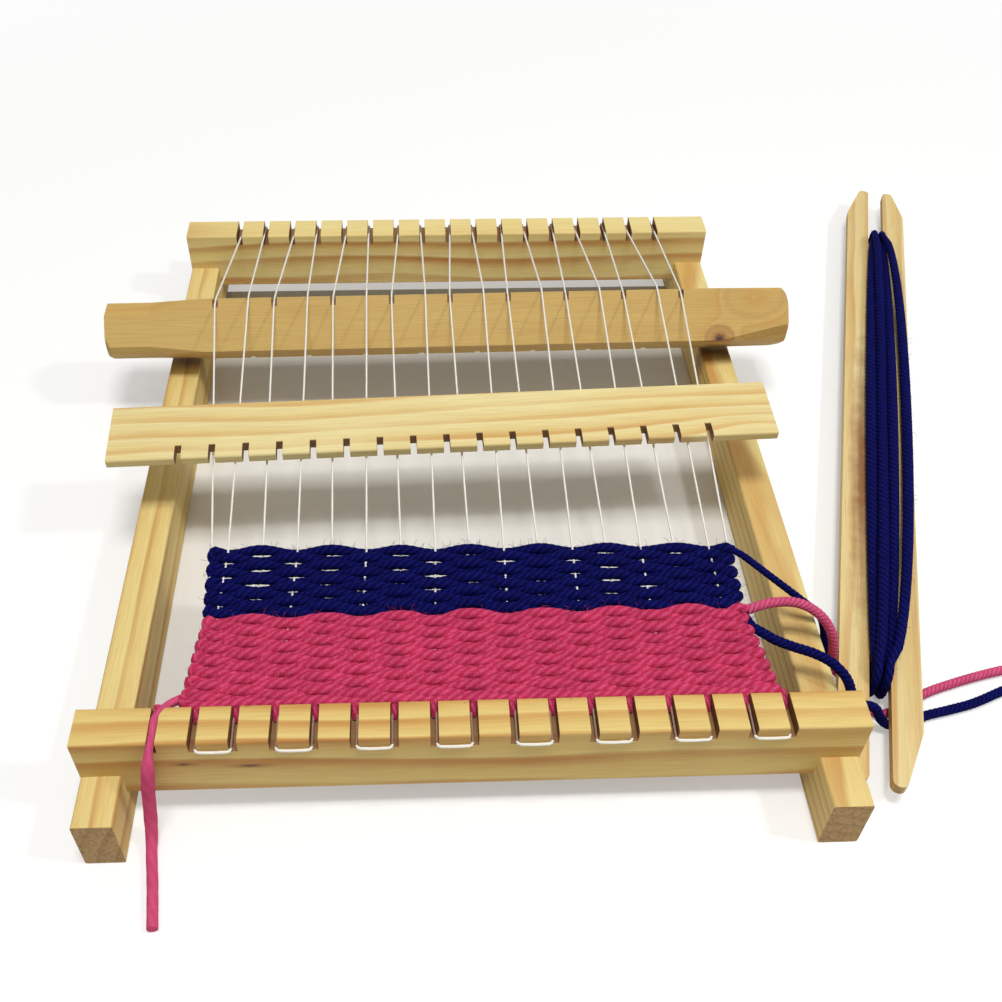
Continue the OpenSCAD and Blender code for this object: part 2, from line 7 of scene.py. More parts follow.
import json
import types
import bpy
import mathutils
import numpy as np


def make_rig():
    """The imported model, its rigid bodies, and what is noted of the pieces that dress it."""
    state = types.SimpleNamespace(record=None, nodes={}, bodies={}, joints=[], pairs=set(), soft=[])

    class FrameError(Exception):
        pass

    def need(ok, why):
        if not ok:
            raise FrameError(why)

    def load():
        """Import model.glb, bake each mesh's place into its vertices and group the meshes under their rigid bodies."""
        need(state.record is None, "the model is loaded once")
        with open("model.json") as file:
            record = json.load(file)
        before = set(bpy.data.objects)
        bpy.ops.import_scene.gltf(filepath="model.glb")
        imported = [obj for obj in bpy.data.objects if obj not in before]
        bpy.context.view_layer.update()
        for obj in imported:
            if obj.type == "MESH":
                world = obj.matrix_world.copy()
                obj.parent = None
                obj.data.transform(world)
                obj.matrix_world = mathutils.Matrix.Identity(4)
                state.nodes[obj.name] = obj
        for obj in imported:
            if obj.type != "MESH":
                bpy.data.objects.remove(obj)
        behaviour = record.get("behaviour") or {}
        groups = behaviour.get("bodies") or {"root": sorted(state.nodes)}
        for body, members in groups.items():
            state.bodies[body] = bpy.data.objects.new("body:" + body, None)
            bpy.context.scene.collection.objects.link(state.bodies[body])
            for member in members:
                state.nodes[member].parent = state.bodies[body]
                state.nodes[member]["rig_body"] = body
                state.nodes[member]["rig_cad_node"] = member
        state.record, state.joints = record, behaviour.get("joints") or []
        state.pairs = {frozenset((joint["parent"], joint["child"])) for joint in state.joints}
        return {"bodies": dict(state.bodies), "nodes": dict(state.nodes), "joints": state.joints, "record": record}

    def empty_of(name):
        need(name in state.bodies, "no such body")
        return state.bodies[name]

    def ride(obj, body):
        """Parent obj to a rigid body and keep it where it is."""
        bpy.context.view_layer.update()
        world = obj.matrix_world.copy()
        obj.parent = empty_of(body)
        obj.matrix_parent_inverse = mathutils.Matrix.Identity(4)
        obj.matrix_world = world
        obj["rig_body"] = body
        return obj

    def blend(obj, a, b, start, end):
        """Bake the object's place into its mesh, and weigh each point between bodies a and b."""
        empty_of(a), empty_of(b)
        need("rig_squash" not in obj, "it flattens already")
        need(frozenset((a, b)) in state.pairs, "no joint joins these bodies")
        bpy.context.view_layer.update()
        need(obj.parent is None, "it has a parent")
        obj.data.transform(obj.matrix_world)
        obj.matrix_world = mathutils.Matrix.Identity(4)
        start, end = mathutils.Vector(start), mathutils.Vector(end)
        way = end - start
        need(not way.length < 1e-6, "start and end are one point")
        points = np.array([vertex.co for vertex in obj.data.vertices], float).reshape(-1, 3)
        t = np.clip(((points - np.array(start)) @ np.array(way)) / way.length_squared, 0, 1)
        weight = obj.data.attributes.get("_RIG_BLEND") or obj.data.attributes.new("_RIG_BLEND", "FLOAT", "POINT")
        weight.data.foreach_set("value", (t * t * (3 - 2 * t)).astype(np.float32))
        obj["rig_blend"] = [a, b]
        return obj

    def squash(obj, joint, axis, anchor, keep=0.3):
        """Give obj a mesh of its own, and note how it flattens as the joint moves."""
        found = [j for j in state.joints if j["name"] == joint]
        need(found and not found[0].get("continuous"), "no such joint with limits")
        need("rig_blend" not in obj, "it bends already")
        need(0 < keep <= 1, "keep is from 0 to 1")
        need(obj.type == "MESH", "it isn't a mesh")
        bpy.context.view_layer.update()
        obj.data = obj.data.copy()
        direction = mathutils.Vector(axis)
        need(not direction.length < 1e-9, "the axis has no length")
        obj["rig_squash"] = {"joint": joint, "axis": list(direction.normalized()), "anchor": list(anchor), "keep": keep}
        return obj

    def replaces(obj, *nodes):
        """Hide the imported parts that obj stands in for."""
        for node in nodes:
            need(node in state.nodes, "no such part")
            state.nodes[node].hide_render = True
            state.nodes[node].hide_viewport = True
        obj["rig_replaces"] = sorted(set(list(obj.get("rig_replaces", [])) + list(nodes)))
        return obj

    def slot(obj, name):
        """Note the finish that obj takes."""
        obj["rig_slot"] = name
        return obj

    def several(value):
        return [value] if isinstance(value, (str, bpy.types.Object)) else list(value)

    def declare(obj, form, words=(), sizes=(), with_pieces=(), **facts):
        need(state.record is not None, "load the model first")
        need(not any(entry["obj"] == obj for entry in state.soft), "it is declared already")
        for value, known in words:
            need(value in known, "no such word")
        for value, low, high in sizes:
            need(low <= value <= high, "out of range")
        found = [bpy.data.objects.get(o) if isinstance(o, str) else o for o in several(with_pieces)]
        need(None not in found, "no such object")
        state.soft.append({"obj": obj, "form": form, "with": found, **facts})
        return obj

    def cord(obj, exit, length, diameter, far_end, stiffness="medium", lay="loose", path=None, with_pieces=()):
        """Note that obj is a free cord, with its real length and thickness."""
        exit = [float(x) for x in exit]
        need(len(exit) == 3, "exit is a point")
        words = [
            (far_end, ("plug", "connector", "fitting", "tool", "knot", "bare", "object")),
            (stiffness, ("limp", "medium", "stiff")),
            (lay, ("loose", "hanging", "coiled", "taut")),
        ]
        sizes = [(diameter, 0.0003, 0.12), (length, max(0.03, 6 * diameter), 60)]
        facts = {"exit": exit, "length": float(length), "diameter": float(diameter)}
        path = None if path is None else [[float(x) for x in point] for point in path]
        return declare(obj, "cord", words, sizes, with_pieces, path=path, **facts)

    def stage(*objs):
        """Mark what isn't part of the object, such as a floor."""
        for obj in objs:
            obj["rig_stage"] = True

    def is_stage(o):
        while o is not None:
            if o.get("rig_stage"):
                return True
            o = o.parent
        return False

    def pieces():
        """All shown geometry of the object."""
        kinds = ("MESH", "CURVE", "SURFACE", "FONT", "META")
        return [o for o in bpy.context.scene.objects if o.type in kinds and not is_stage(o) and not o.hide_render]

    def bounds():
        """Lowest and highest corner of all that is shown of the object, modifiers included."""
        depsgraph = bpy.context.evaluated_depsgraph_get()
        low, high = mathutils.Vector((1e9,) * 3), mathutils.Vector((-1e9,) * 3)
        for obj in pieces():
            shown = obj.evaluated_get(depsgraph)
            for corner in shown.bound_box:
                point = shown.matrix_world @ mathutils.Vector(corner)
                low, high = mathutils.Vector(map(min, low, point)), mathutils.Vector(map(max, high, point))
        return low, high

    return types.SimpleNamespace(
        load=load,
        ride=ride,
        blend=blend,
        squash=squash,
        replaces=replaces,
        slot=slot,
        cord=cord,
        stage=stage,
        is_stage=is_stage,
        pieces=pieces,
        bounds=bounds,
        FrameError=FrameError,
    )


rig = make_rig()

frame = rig.load()
CAD_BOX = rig.bounds()

import json
import logging
import math
import random
from collections.abc import Sequence
from dataclasses import dataclass, field
from enum import Enum

import bpy
from mathutils import Matrix, Vector

MM = 0.001
LOG = logging.getLogger("loom")


# Measures


@dataclass(frozen=True)
class Layout:
    """Where the loom's own measures start inside the row frame, in millimetres."""

    middle_x: float = 49.783362
    middle_y: float = 175.602043

    def point(self, x: float, y: float, z: float) -> Vector:
        """A place on the loom, in the row frame's metres.

        Args:
            x: Millimetres to the weaver's right.
            y: Millimetres towards the back beam.
            z: Millimetres above the table.

        Returns:
            The same place in metres.
        """
        return Vector(((x - self.middle_x) * MM, (y - self.middle_y) * MM, z * MM))


LAYOUT = Layout()


class Grain(Enum):
    """Which way a board's grain runs, as degrees about Z from the beams' direction."""

    BEAM = 0.0
    RAIL = 90.0
    BAR = 0.75
    COMB = 2.0
    SHUTTLE = 74.1


def mix(a: float, b: float, t: float) -> float:
    """The value a share t of the way from a to b."""
    return a + (b - a) * t


def lookup(at: float, table: Sequence[tuple[float, float]]) -> float:
    """A value read from a table by straight lines between its rows.

    Args:
        at: The key, held to the table's first and last rows.
        table: Rows of key and value, in rising order of key.

    Returns:
        The value at that key.
    """
    if at <= table[0][0]:
        return table[0][1]
    for (k0, v0), (k1, v1) in zip(table, table[1:]):
        if at <= k1:
            return mix(v0, v1, (at - k0) / (k1 - k0))
    return table[-1][1]


def smooth_route(points: list[Vector], parts: int) -> list[Vector]:
    """A smooth line through every point of a route.

    Args:
        points: The route's points.
        parts: How many short pieces take the place of each straight one.

    Returns:
        The points of the smooth line, the route's own among them.
    """
    ends = [2 * points[0] - points[1], *points, 2 * points[-1] - points[-2]]
    line = []
    for a, b, c, d in zip(ends, ends[1:], ends[2:], ends[3:]):
        t0 = 0.0
        t1 = t0 + math.sqrt((b - a).length)
        t2 = t1 + math.sqrt((c - b).length)
        t3 = t2 + math.sqrt((d - c).length)
        for k in range(parts):
            t = mix(t1, t2, k / parts)
            ab = a.lerp(b, (t - t0) / (t1 - t0))
            bc = b.lerp(c, (t - t1) / (t2 - t1))
            cd = c.lerp(d, (t - t2) / (t3 - t2))
            abc = ab.lerp(bc, (t - t0) / (t2 - t0))
            bcd = bc.lerp(cd, (t - t1) / (t3 - t1))
            line.append(abc.lerp(bcd, (t - t1) / (t2 - t1)))
    return [*line, points[-1].copy()]


def route_length(points: list[Vector]) -> float:
    """The length of a line through the points, in their own unit."""
    return sum((b - a).length for a, b in zip(points, points[1:]))


# Node trees


def colour(code: str) -> tuple[float, float, float, float]:
    """Turns a hex sRGB colour into the linear one that Blender's sockets hold.

    Args:
        code: The colour, such as "#e7cd8b".

    Returns:
        Linear red, green, blue and an alpha of 1.
    """
    parts = [int(code[k : k + 2], 16) / 255 for k in (1, 3, 5)]
    linear = [c / 12.92 if c <= 0.04045 else ((c + 0.055) / 1.055) ** 2.4 for c in parts]
    return (*linear, 1.0)


def add(tree, kind: str, settings: dict | None = None, links: dict | None = None):
    """Adds one node with its settings, its inputs' values and its links.

    Args:
        tree: The node tree.
        kind: Blender's name for the kind of node.
        settings: Properties of the node.
        links: For each input, by name or number, a value or the output socket that feeds it.

    Returns:
        The new node.
    """
    node = tree.nodes.new(kind)
    for name, value in (settings or {}).items():
        setattr(node, name, value)
    for name, value in (links or {}).items():
        if isinstance(value, bpy.types.NodeSocket):
            tree.links.new(value, node.inputs[name])
        else:
            node.inputs[name].default_value = value
    return node


def maths(tree, operation: str, *values):
    """Adds a maths node and returns its output.

    Args:
        tree: The node tree.
        operation: The operation's name.
        values: Its inputs, each a number or an output socket.

    Returns:
        The result's socket.
    """
    links = dict(enumerate(values))
    return add(tree, "ShaderNodeMath", {"operation": operation}, links).outputs[0]


def product(tree, first, *others):
    """Multiplies numbers and sockets.

    Args:
        tree: The node tree.
        first: The first factor.
        others: The other factors.

    Returns:
        The product's socket.
    """
    for value in others:
        first = maths(tree, "MULTIPLY", first, value)
    return first


def between(tree, value, low: float, high: float):
    """Tests whether a value lies between two limits.

    Args:
        tree: The node tree.
        value: The socket of the value.
        low: The lower limit.
        high: The upper limit.

    Returns:
        A socket that is 1 between them and else 0.
    """
    past = maths(tree, "GREATER_THAN", value, low)
    return product(tree, past, maths(tree, "LESS_THAN", value, high))


def remap(tree, value, start: tuple = (0.0, 1.0), end: tuple = (0.0, 1.0)):
    """Maps a value from one range to another, held to the ends.

    Args:
        tree: The node tree.
        value: The socket of the value.
        start: The two ends of the range that it is in.
        end: The two ends of the range that it goes to.

    Returns:
        The new value's socket.
    """
    limits = {"From Min": start[0], "From Max": start[1], "To Min": end[0], "To Max": end[1]}
    return add(tree, "ShaderNodeMapRange", links={"Value": value, **limits}).outputs[0]


def axes(tree, vector):
    """Splits a vector.

    Args:
        tree: The node tree.
        vector: The vector's socket.

    Returns:
        The sockets of its X, Y and Z.
    """
    return add(tree, "ShaderNodeSeparateXYZ", links={0: vector}).outputs


def noise(tree, vector, scale: float, detail: float):
    """Adds noise.

    Args:
        tree: The node tree.
        vector: The socket of coordinates.
        scale: Features per metre.
        detail: The noise's octaves.

    Returns:
        The noise's socket.
    """
    links = {"Vector": vector, "Scale": scale, "Detail": detail}
    return add(tree, "ShaderNodeTexNoise", links=links).outputs["Fac"]


def roughen(tree, shader, height, strength: float, distance: float) -> None:
    """Gives a finish small bumps.

    Args:
        tree: The material's tree.
        shader: The shader's node.
        height: The socket of the bumps' height, from 0 to 1.
        strength: How much of them shows.
        distance: Their height in metres.
    """
    links = {"Height": height, "Strength": strength, "Distance": distance}
    tree.links.new(add(tree, "ShaderNodeBump", links=links).outputs[0], shader.inputs["Normal"])


def ramp(tree, factor, stops: list[tuple[float, str]]):
    """Adds a colour ramp.

    Args:
        tree: The node tree.
        factor: The socket that it reads.
        stops: Place and hex colour of each stop, in rising order of place.

    Returns:
        The colour's socket.
    """
    node = add(tree, "ShaderNodeValToRGB", links={"Fac": factor})
    marks = node.color_ramp.elements
    while len(marks) < len(stops):
        marks.new(0.5)
    for mark, (place, code) in zip(marks, stops):
        mark.position = place
        mark.color = colour(code)
    return node.outputs["Color"]


def blend_colour(tree, mode: str, factor, first, second):
    """Mixes two colours.

    Args:
        tree: The node tree.
        mode: The blend's name.
        factor: How much of the second, a number or a socket.
        first: The first colour, a value or a socket.
        second: The second colour, a value or a socket.

    Returns:
        The mixed colour's socket.
    """
    # For colours the node reads sockets 6 and 7 and gives socket 2.
    settings = {"data_type": "RGBA", "blend_type": mode}
    node = add(tree, "ShaderNodeMix", settings, {0: factor, 6: first, 7: second})
    return node.outputs[2]


def new_material(name: str):
    """Starts a material with an empty tree.

    Args:
        name: The finish's name.

    Returns:
        The material, its tree, its shader and its output node.
    """
    material = bpy.data.materials.new(name)
    material.use_nodes = True
    tree = material.node_tree
    tree.nodes.clear()
    shader = add(tree, "ShaderNodeBsdfPrincipled")
    out = add(tree, "ShaderNodeOutputMaterial", links={"Surface": shader.outputs[0]})
    return material, tree, shader, out


# Finishes

# Features of each kind in a metre of wood, along the grain and twice across it.
FIBRES = (60.0, 2600.0, 2600.0)
SLOW_BENDS = (7.0, 25.0, 25.0)
QUICK_BENDS = (30.0, 120.0, 120.0)
PATCHES = (9.0, 60.0, 60.0)
PORES = (900.0, 900.0, 900.0)
KNOT_EDGE = (700.0, 1400.0, 1400.0)
SHADE_PATCH_EDGE = (140.0, 140.0, 140.0)


@dataclass(frozen=True)
class Knot:
    """A knot in a board: where it is, its half sizes, and how far it bends the rings.

    Strength says how dark its core and halo are, and rim how clear the brown ring round it is.
    """

    place: tuple[float, float, float]
    length: float
    width: float
    bulge: float = 0.0
    dark: str = "#3f2a18"
    strength: float = 0.85
    rim: float = 0.0


@dataclass(frozen=True)
class SawCuts:
    """A row of saw cuts, whose walls are reddish brown: rough sawn wood, deepened with painted shade inside the narrow
    cuts.

    Cuts lie at the pitch from the centre both ways, and past the given height or depth.
    """

    centre: tuple[float, float, float]
    half_width: float
    pitch: float = 12.5
    each_way: int = 8
    above: float | None = None
    before: float | None = None
    margin: float = 0.06
    wall_with_shade: str = "#7a4c2e"


@dataclass(frozen=True)
class ShadePatch:
    """A patch of painted shade in a brown tint on a board: where it is, its half sizes and its tint."""

    place: tuple[float, float, float]
    length: float
    width: float
    tint: str


@dataclass(frozen=True)
class Pine:
    """Radiata pine, planed and sanded but not varnished.

    The eye gets pale yellow wood with a few darker, sharp-edged streaks of late wood along
    the grain, rings and a browner tone on sawn ends, and a dull, slightly silky surface.
    """

    name: str
    grain: Grain
    pith: tuple[float, float, float]
    ring_mm: float = 5.6
    pale: str = "#e3d08d"
    body: str = "#d9ba70"
    late: str = "#bb843f"
    end: str = "#a47c4c"
    late_end: str = "#94703f"
    late_strength: float = 0.8
    wander_mm: float = 7.0
    jitter_mm: float = 0.9
    band: float = 0.1
    knots: tuple[Knot, ...] = ()
    cuts: SawCuts | None = None
    shade_patch: ShadePatch | None = None

    def material(self):
        """Builds the material on Object coordinates, with the grain turned along X.

        Returns:
            The material.
        """
        material, tree, shader, _ = new_material(self.name)
        coords = add(tree, "ShaderNodeTexCoord").outputs
        grain = self.turned(tree, coords["Object"], "POINT")
        from_pith = {"Vector": grain, "Location": [v * MM for v in self.pith]}
        across = add(tree, "ShaderNodeMapping", links=from_pith).outputs[0]
        rings = self.rings(tree, grain, across)
        tone = self.planed(tree, across, rings)
        fibres = self.streaks(tree, across, FIBRES, 3.0)
        fibre_tone = ramp(tree, fibres, [(0.3, "#cdbfae"), (0.62, "#ffffff")])
        tone = blend_colour(tree, "MULTIPLY", 0.35, tone, fibre_tone)
        for knot in self.knots:
            tone = self.knot_tone(tree, grain, tone, knot)
        # A patch of painted shade, darkening the wood where something lies close over it.
        if self.shade_patch:
            tone = self.shade_patch_tone(tree, coords["Object"], tone)
        tone = self.sawn(tree, coords["Normal"], across, rings, tone)
        if self.cuts:
            tone = self.cut_wall_shade(tree, grain, tone)
        tree.links.new(tone, shader.inputs["Base Color"])
        tree.links.new(remap(tree, fibres, end=(0.52, 0.76)), shader.inputs["Roughness"])
        shader.inputs["IOR"].default_value = 1.45
        height = maths(tree, "MULTIPLY_ADD", rings, -0.25, fibres)
        roughen(tree, shader, height, 0.35, 0.00012)
        return material

    @property
    def turn(self) -> float:
        """The grain's turn about Z, in radians."""
        return math.radians(self.grain.value)

    def on_grain(self, place: tuple[float, float, float]) -> Vector:
        """Turns a place on the loom to the grain.

        Args:
            place: Its three measures on the loom.

        Returns:
            The place in metres, with the grain along X.
        """
        return Matrix.Rotation(-self.turn, 3, "Z") @ LAYOUT.point(*place)

    def turned(self, tree, vector, kind: str):
        """Turns coordinates or a direction to the grain.

        Args:
            tree: The material's tree.
            vector: Its socket.
            kind: "POINT" for coordinates or "NORMAL" for a direction.

        Returns:
            The turned vector's socket.
        """
        links = {"Vector": vector, "Rotation": (0.0, 0.0, -self.turn)}
        return add(tree, "ShaderNodeMapping", {"vector_type": kind}, links).outputs[0]

    def streaks(self, tree, vector, scale: tuple[float, float, float], detail: float):
        """Noise stretched along the grain.

        Args:
            tree: The material's tree.
            vector: The socket of coordinates.
            scale: Features per metre along each axis.
            detail: The noise's octaves.

        Returns:
            The noise's socket.
        """
        stretched = add(tree, "ShaderNodeMapping", links={"Vector": vector, "Scale": scale})
        return noise(tree, stretched.outputs[0], 1.0, detail)

    def rings(self, tree, grain, across):
        """Growth rings round the pith, wandering along the board and bent by knots.

        Args:
            tree: The material's tree.
            grain: The socket of coordinates with the grain along X.
            across: The same, measured from the pith.

        Returns:
            The socket of the place within a ring, from 0 to 1.
        """
        _, side, rise = axes(tree, across)
        squares = maths(tree, "ADD", product(tree, side, side), product(tree, rise, rise))
        radius = maths(tree, "SQRT", squares)
        slow = self.streaks(tree, across, SLOW_BENDS, 1.0)
        quick = self.streaks(tree, across, QUICK_BENDS, 2.0)
        radius = maths(tree, "MULTIPLY_ADD", slow, self.wander_mm * MM, radius)
        radius = maths(tree, "MULTIPLY_ADD", quick, self.jitter_mm * MM, radius)
        for knot in self.knots:
            if knot.bulge:
                away = self.away(tree, grain, knot)
                near = maths(tree, "EXPONENT", product(tree, away, away, -0.16))
                radius = maths(tree, "MULTIPLY_ADD", near, knot.bulge * MM, radius)
        return maths(tree, "FRACT", maths(tree, "DIVIDE", radius, self.ring_mm * MM))

    def planed(self, tree, across, rings):
        """The colour of the planed faces: early wood, streaks of late wood and slow changes.

        Args:
            tree: The material's tree.
            across: The socket of coordinates measured from the pith.
            rings: The socket of the place within a ring.

        Returns:
            The colour's socket.
        """
        stops = [
            (0.0, self.pale),
            (max(0.2, 0.98 - 2.2 * self.band), self.body),
            (1 - self.band, self.late),
            (1 - self.band / 2, self.late),
            (1.0, self.pale),
        ]
        patches = self.streaks(tree, across, PATCHES, 2.0)
        plain = ramp(tree, patches, [(0.32, self.pale), (0.68, self.body)])
        strength = remap(tree, patches, (0.25, 0.7), (0.25, self.late_strength))
        return blend_colour(tree, "MIX", strength, plain, ramp(tree, rings, stops))

    def sawn(self, tree, normal, across, rings, tone):
        """Sawn ends, which soak up more dirt and look browner, with rings and dark pores.

        Args:
            tree: The material's tree.
            normal: The socket of the face's direction.
            across: The socket of coordinates measured from the pith.
            rings: The socket of the place within a ring.
            tone: The colour so far.

        Returns:
            The new colour's socket.
        """
        facing = maths(tree, "ABSOLUTE", axes(tree, self.turned(tree, normal, "NORMAL"))[0])
        pores = self.streaks(tree, across, PORES, 3.0)
        specks = ramp(tree, pores, [(0.36, "#94795c"), (0.5, "#ffffff")])
        ends = ramp(tree, rings, [(0.45, self.end), (0.9, self.late_end), (1.0, self.end)])
        end_tone = blend_colour(tree, "MULTIPLY", 0.75, ends, specks)
        share = product(tree, remap(tree, facing, (0.6, 0.95)), 0.8)
        return blend_colour(tree, "MIX", share, tone, end_tone)

    def within(self, tree, vector, place: Vector, turn: float, mark):
        """How far coordinates are from a knot or a patch of painted shade, as a share of its half sizes.

        Args:
            tree: The material's tree.
            vector: The socket of coordinates.
            place: The mark's middle, in the same coordinates.
            turn: The mark's turn about Z in them, in radians.
            mark: The knot or the patch of painted shade.

        Returns:
            The distance's socket.
        """
        sizes = (mark.length * MM, mark.width * MM, mark.width * MM)
        links = {"Vector": vector, "Location": place, "Rotation": (0.0, 0.0, turn), "Scale": sizes}
        offset = add(tree, "ShaderNodeMapping", {"vector_type": "TEXTURE"}, links).outputs[0]
        length = add(tree, "ShaderNodeVectorMath", {"operation": "LENGTH"}, {0: offset})
        return length.outputs["Value"]

    def away(self, tree, grain, knot: Knot):
        """How far the grain's coordinates are from a knot, as a share of its half sizes.

        Args:
            tree: The material's tree.
            grain: The socket of coordinates with the grain along X.
            knot: The knot.

        Returns:
            The distance's socket.
        """
        return self.within(tree, grain, self.on_grain(knot.place), 0.0, knot)

    def knot_tone(self, tree, grain, tone, knot: Knot):
        """Lays a dark knot with a brown halo and rim into the wood.

        Args:
            tree: The material's tree.
            grain: The socket of coordinates with the grain along X.
            tone: The colour so far.
            knot: The knot.

        Returns:
            The new colour's socket.
        """
        brown = colour("#94622f")
        ragged = self.streaks(tree, grain, KNOT_EDGE, 2.0)
        reach = maths(tree, "MULTIPLY_ADD", ragged, 0.6, self.away(tree, grain, knot))
        off = maths(tree, "ABSOLUTE", maths(tree, "SUBTRACT", reach, 2.1))
        rim = product(tree, remap(tree, off, (0.35, 0.05)), knot.rim)
        tone = blend_colour(tree, "MIX", rim, tone, brown)
        halo = product(tree, remap(tree, reach, (2.6, 1.0)), 0.8 * knot.strength)
        around = blend_colour(tree, "MIX", halo, tone, brown)
        core = product(tree, remap(tree, reach, (1.2, 0.6)), knot.strength)
        return blend_colour(tree, "MIX", core, around, colour(knot.dark))

    def cut_wall_shade(self, tree, grain, tone):
        """Darkens and reddens the walls of the saw cuts, with the colour of rough sawn wood and painted shade inside
        them.

        Args:
            tree: The material's tree.
            grain: The socket of coordinates with the grain along X.
            tone: The colour so far.

        Returns:
            The new colour's socket.
        """
        cuts = self.cuts
        centre = self.on_grain(cuts.centre)
        x, y, z = axes(tree, grain)
        along = maths(tree, "SUBTRACT", x, centre.x - cuts.pitch * MM / 2)
        step = maths(tree, "FRACT", maths(tree, "DIVIDE", along, cuts.pitch * MM))
        off = maths(tree, "ABSOLUTE", maths(tree, "SUBTRACT", step, 0.5))
        inside = maths(tree, "LESS_THAN", off, (cuts.half_width + cuts.margin) / cuts.pitch)
        reach = maths(tree, "ABSOLUTE", maths(tree, "SUBTRACT", x, centre.x))
        row = maths(tree, "LESS_THAN", reach, (cuts.each_way + 0.5) * cuts.pitch * MM)
        inside = product(tree, inside, row)
        if cuts.above is not None:
            inside = product(tree, inside, maths(tree, "GREATER_THAN", z, cuts.above * MM))
        if cuts.before is not None:
            edge = centre.y + cuts.before * MM
            inside = product(tree, inside, maths(tree, "LESS_THAN", y, edge))
        # Painted shade in the cuts, mixed with the reddish brown of their rough sawn walls.
        return blend_colour(tree, "MIX", product(tree, inside, 0.8), tone, colour(cuts.wall_with_shade))

    def shade_patch_tone(self, tree, coords, tone):
        """Lays the patch of painted shade into the wood's colour.

        Args:
            tree: The material's tree.
            coords: The socket of Object coordinates.
            tone: The colour so far.

        Returns:
            The new colour's socket.
        """
        place = LAYOUT.point(*self.shade_patch.place)
        away = self.within(tree, coords, place, self.turn, self.shade_patch)
        ragged = self.streaks(tree, coords, SHADE_PATCH_EDGE, 4.0)
        reach = maths(tree, "MULTIPLY_ADD", ragged, 1.1, away)
        share = product(tree, remap(tree, reach, (2.1, 0.8)), 0.8)
        return blend_colour(tree, "MULTIPLY", share, tone, colour(self.shade_patch.tint))


@dataclass(frozen=True)
class SpunYarn:
    """Worsted-spun acrylic knitting yarn, dyed, of several plies.

    The eye gets a dull, deep colour, with painted shade between the plies, a lighter fuzz tint that partly paints a
    highlight on the plies' crowns, and a soft fuzzy edge.
    """

    name: str
    crown: str
    groove_shade: str
    fuzz: str
    fuzz_weight: float = 0.35

    def material(self):
        """Builds the material, which reads the strand's own crown attribute.

        Returns:
            The material.
        """
        material, tree, shader, _ = new_material(self.name)
        coords = add(tree, "ShaderNodeTexCoord").outputs["Object"]
        ply = add(tree, "ShaderNodeAttribute", {"attribute_name": "crown"}).outputs["Fac"]
        fibre = noise(tree, coords, 1700.0, 3.0)
        patch = noise(tree, coords, 130.0, 2.0)
        lift = maths(tree, "MULTIPLY_ADD", maths(tree, "SUBTRACT", fibre, 0.5), 1.5, ply)
        # Painted shade in the grooves between plies, the dyed colour, then the lighter fuzz tint, partly a painted
        # highlight on the crowns.
        tone = ramp(tree, lift, [(0.0, self.groove_shade), (0.7, self.crown), (1.15, self.fuzz)])
        worn = ramp(tree, patch, [(0.3, "#d8d8d8"), (0.7, "#ffffff")])
        tone = blend_colour(tree, "MULTIPLY", 0.6, tone, worn)
        tree.links.new(tone, shader.inputs["Base Color"])
        shader.inputs["Roughness"].default_value = 0.88
        shader.inputs["Specular IOR Level"].default_value = 0.08
        shader.inputs["Sheen Weight"].default_value = self.fuzz_weight
        shader.inputs["Sheen Roughness"].default_value = 0.5
        shader.inputs["Sheen Tint"].default_value = colour(self.fuzz)
        roughen(tree, shader, fibre, 0.8, 0.00025)
        return material


@dataclass(frozen=True)
class CottonWarp:
    """Mercerised cotton warp, twisted hard: off-white, with a faint silky gloss.

    Inside the beams' slots, in the two stretches below the given height, the string takes a brown painted shade.
    """

    name: str = "white_cotton_warp"
    thread: str = "#efece2"
    shade: str = "#c4bead"
    # Painted shade on the string in the slots: its spans from the front, the height below which it shows, and its tint.
    slot_shade_spans: tuple[tuple[float, float], ...] = ((0.2, 13.6), (284.4, 297.6))
    slot_shade_below: float = 39.0
    slot_shade_tint: str = "#a5724f"

    def material(self):
        """Builds the material.

        Returns:
            The material.
        """
        material, tree, shader, _ = new_material(self.name)
        coords = add(tree, "ShaderNodeTexCoord").outputs["Object"]
        ply = add(tree, "ShaderNodeAttribute", {"attribute_name": "crown"}).outputs["Fac"]
        fibre = noise(tree, coords, 2600.0, 2.0)
        lift = maths(tree, "MULTIPLY_ADD", maths(tree, "SUBTRACT", fibre, 0.5), 0.5, ply)
        tone = ramp(tree, lift, [(0.0, self.shade), (0.6, self.thread)])
        _, y, z = axes(tree, coords)
        low = maths(tree, "LESS_THAN", z, self.slot_shade_below * MM)
        # Painted shade on the string where it lies down in the slots.
        for near, far in self.slot_shade_spans:
            inside = between(tree, y, LAYOUT.point(0, near, 0).y, LAYOUT.point(0, far, 0).y)
            share = product(tree, inside, low, 0.85)
            tone = blend_colour(tree, "MULTIPLY", share, tone, colour(self.slot_shade_tint))
        tree.links.new(tone, shader.inputs["Base Color"])
        shader.inputs["Roughness"].default_value = 0.7
        shader.inputs["Sheen Weight"].default_value = 0.2
        roughen(tree, shader, fibre, 0.5, 0.0001)
        return material


@dataclass(frozen=True)
class ZincScrew:
    """Zinc-plated steel: a cool grey metal with a finely mottled surface."""

    name: str = "zinc_plated_steel"

    def material(self):
        """Builds the material.

        Returns:
            The material.
        """
        material, tree, shader, _ = new_material(self.name)
        dull = noise(tree, add(tree, "ShaderNodeTexCoord").outputs["Object"], 900.0, 3.0)
        grey = ramp(tree, dull, [(0.3, "#a9aaa6"), (0.7, "#cfd0cc")])
        tree.links.new(grey, shader.inputs["Base Color"])
        shader.inputs["Metallic"].default_value = 1.0
        tree.links.new(remap(tree, dull, end=(0.28, 0.48)), shader.inputs["Roughness"])
        roughen(tree, shader, dull, 0.2, 0.00005)
        return material


# Strands


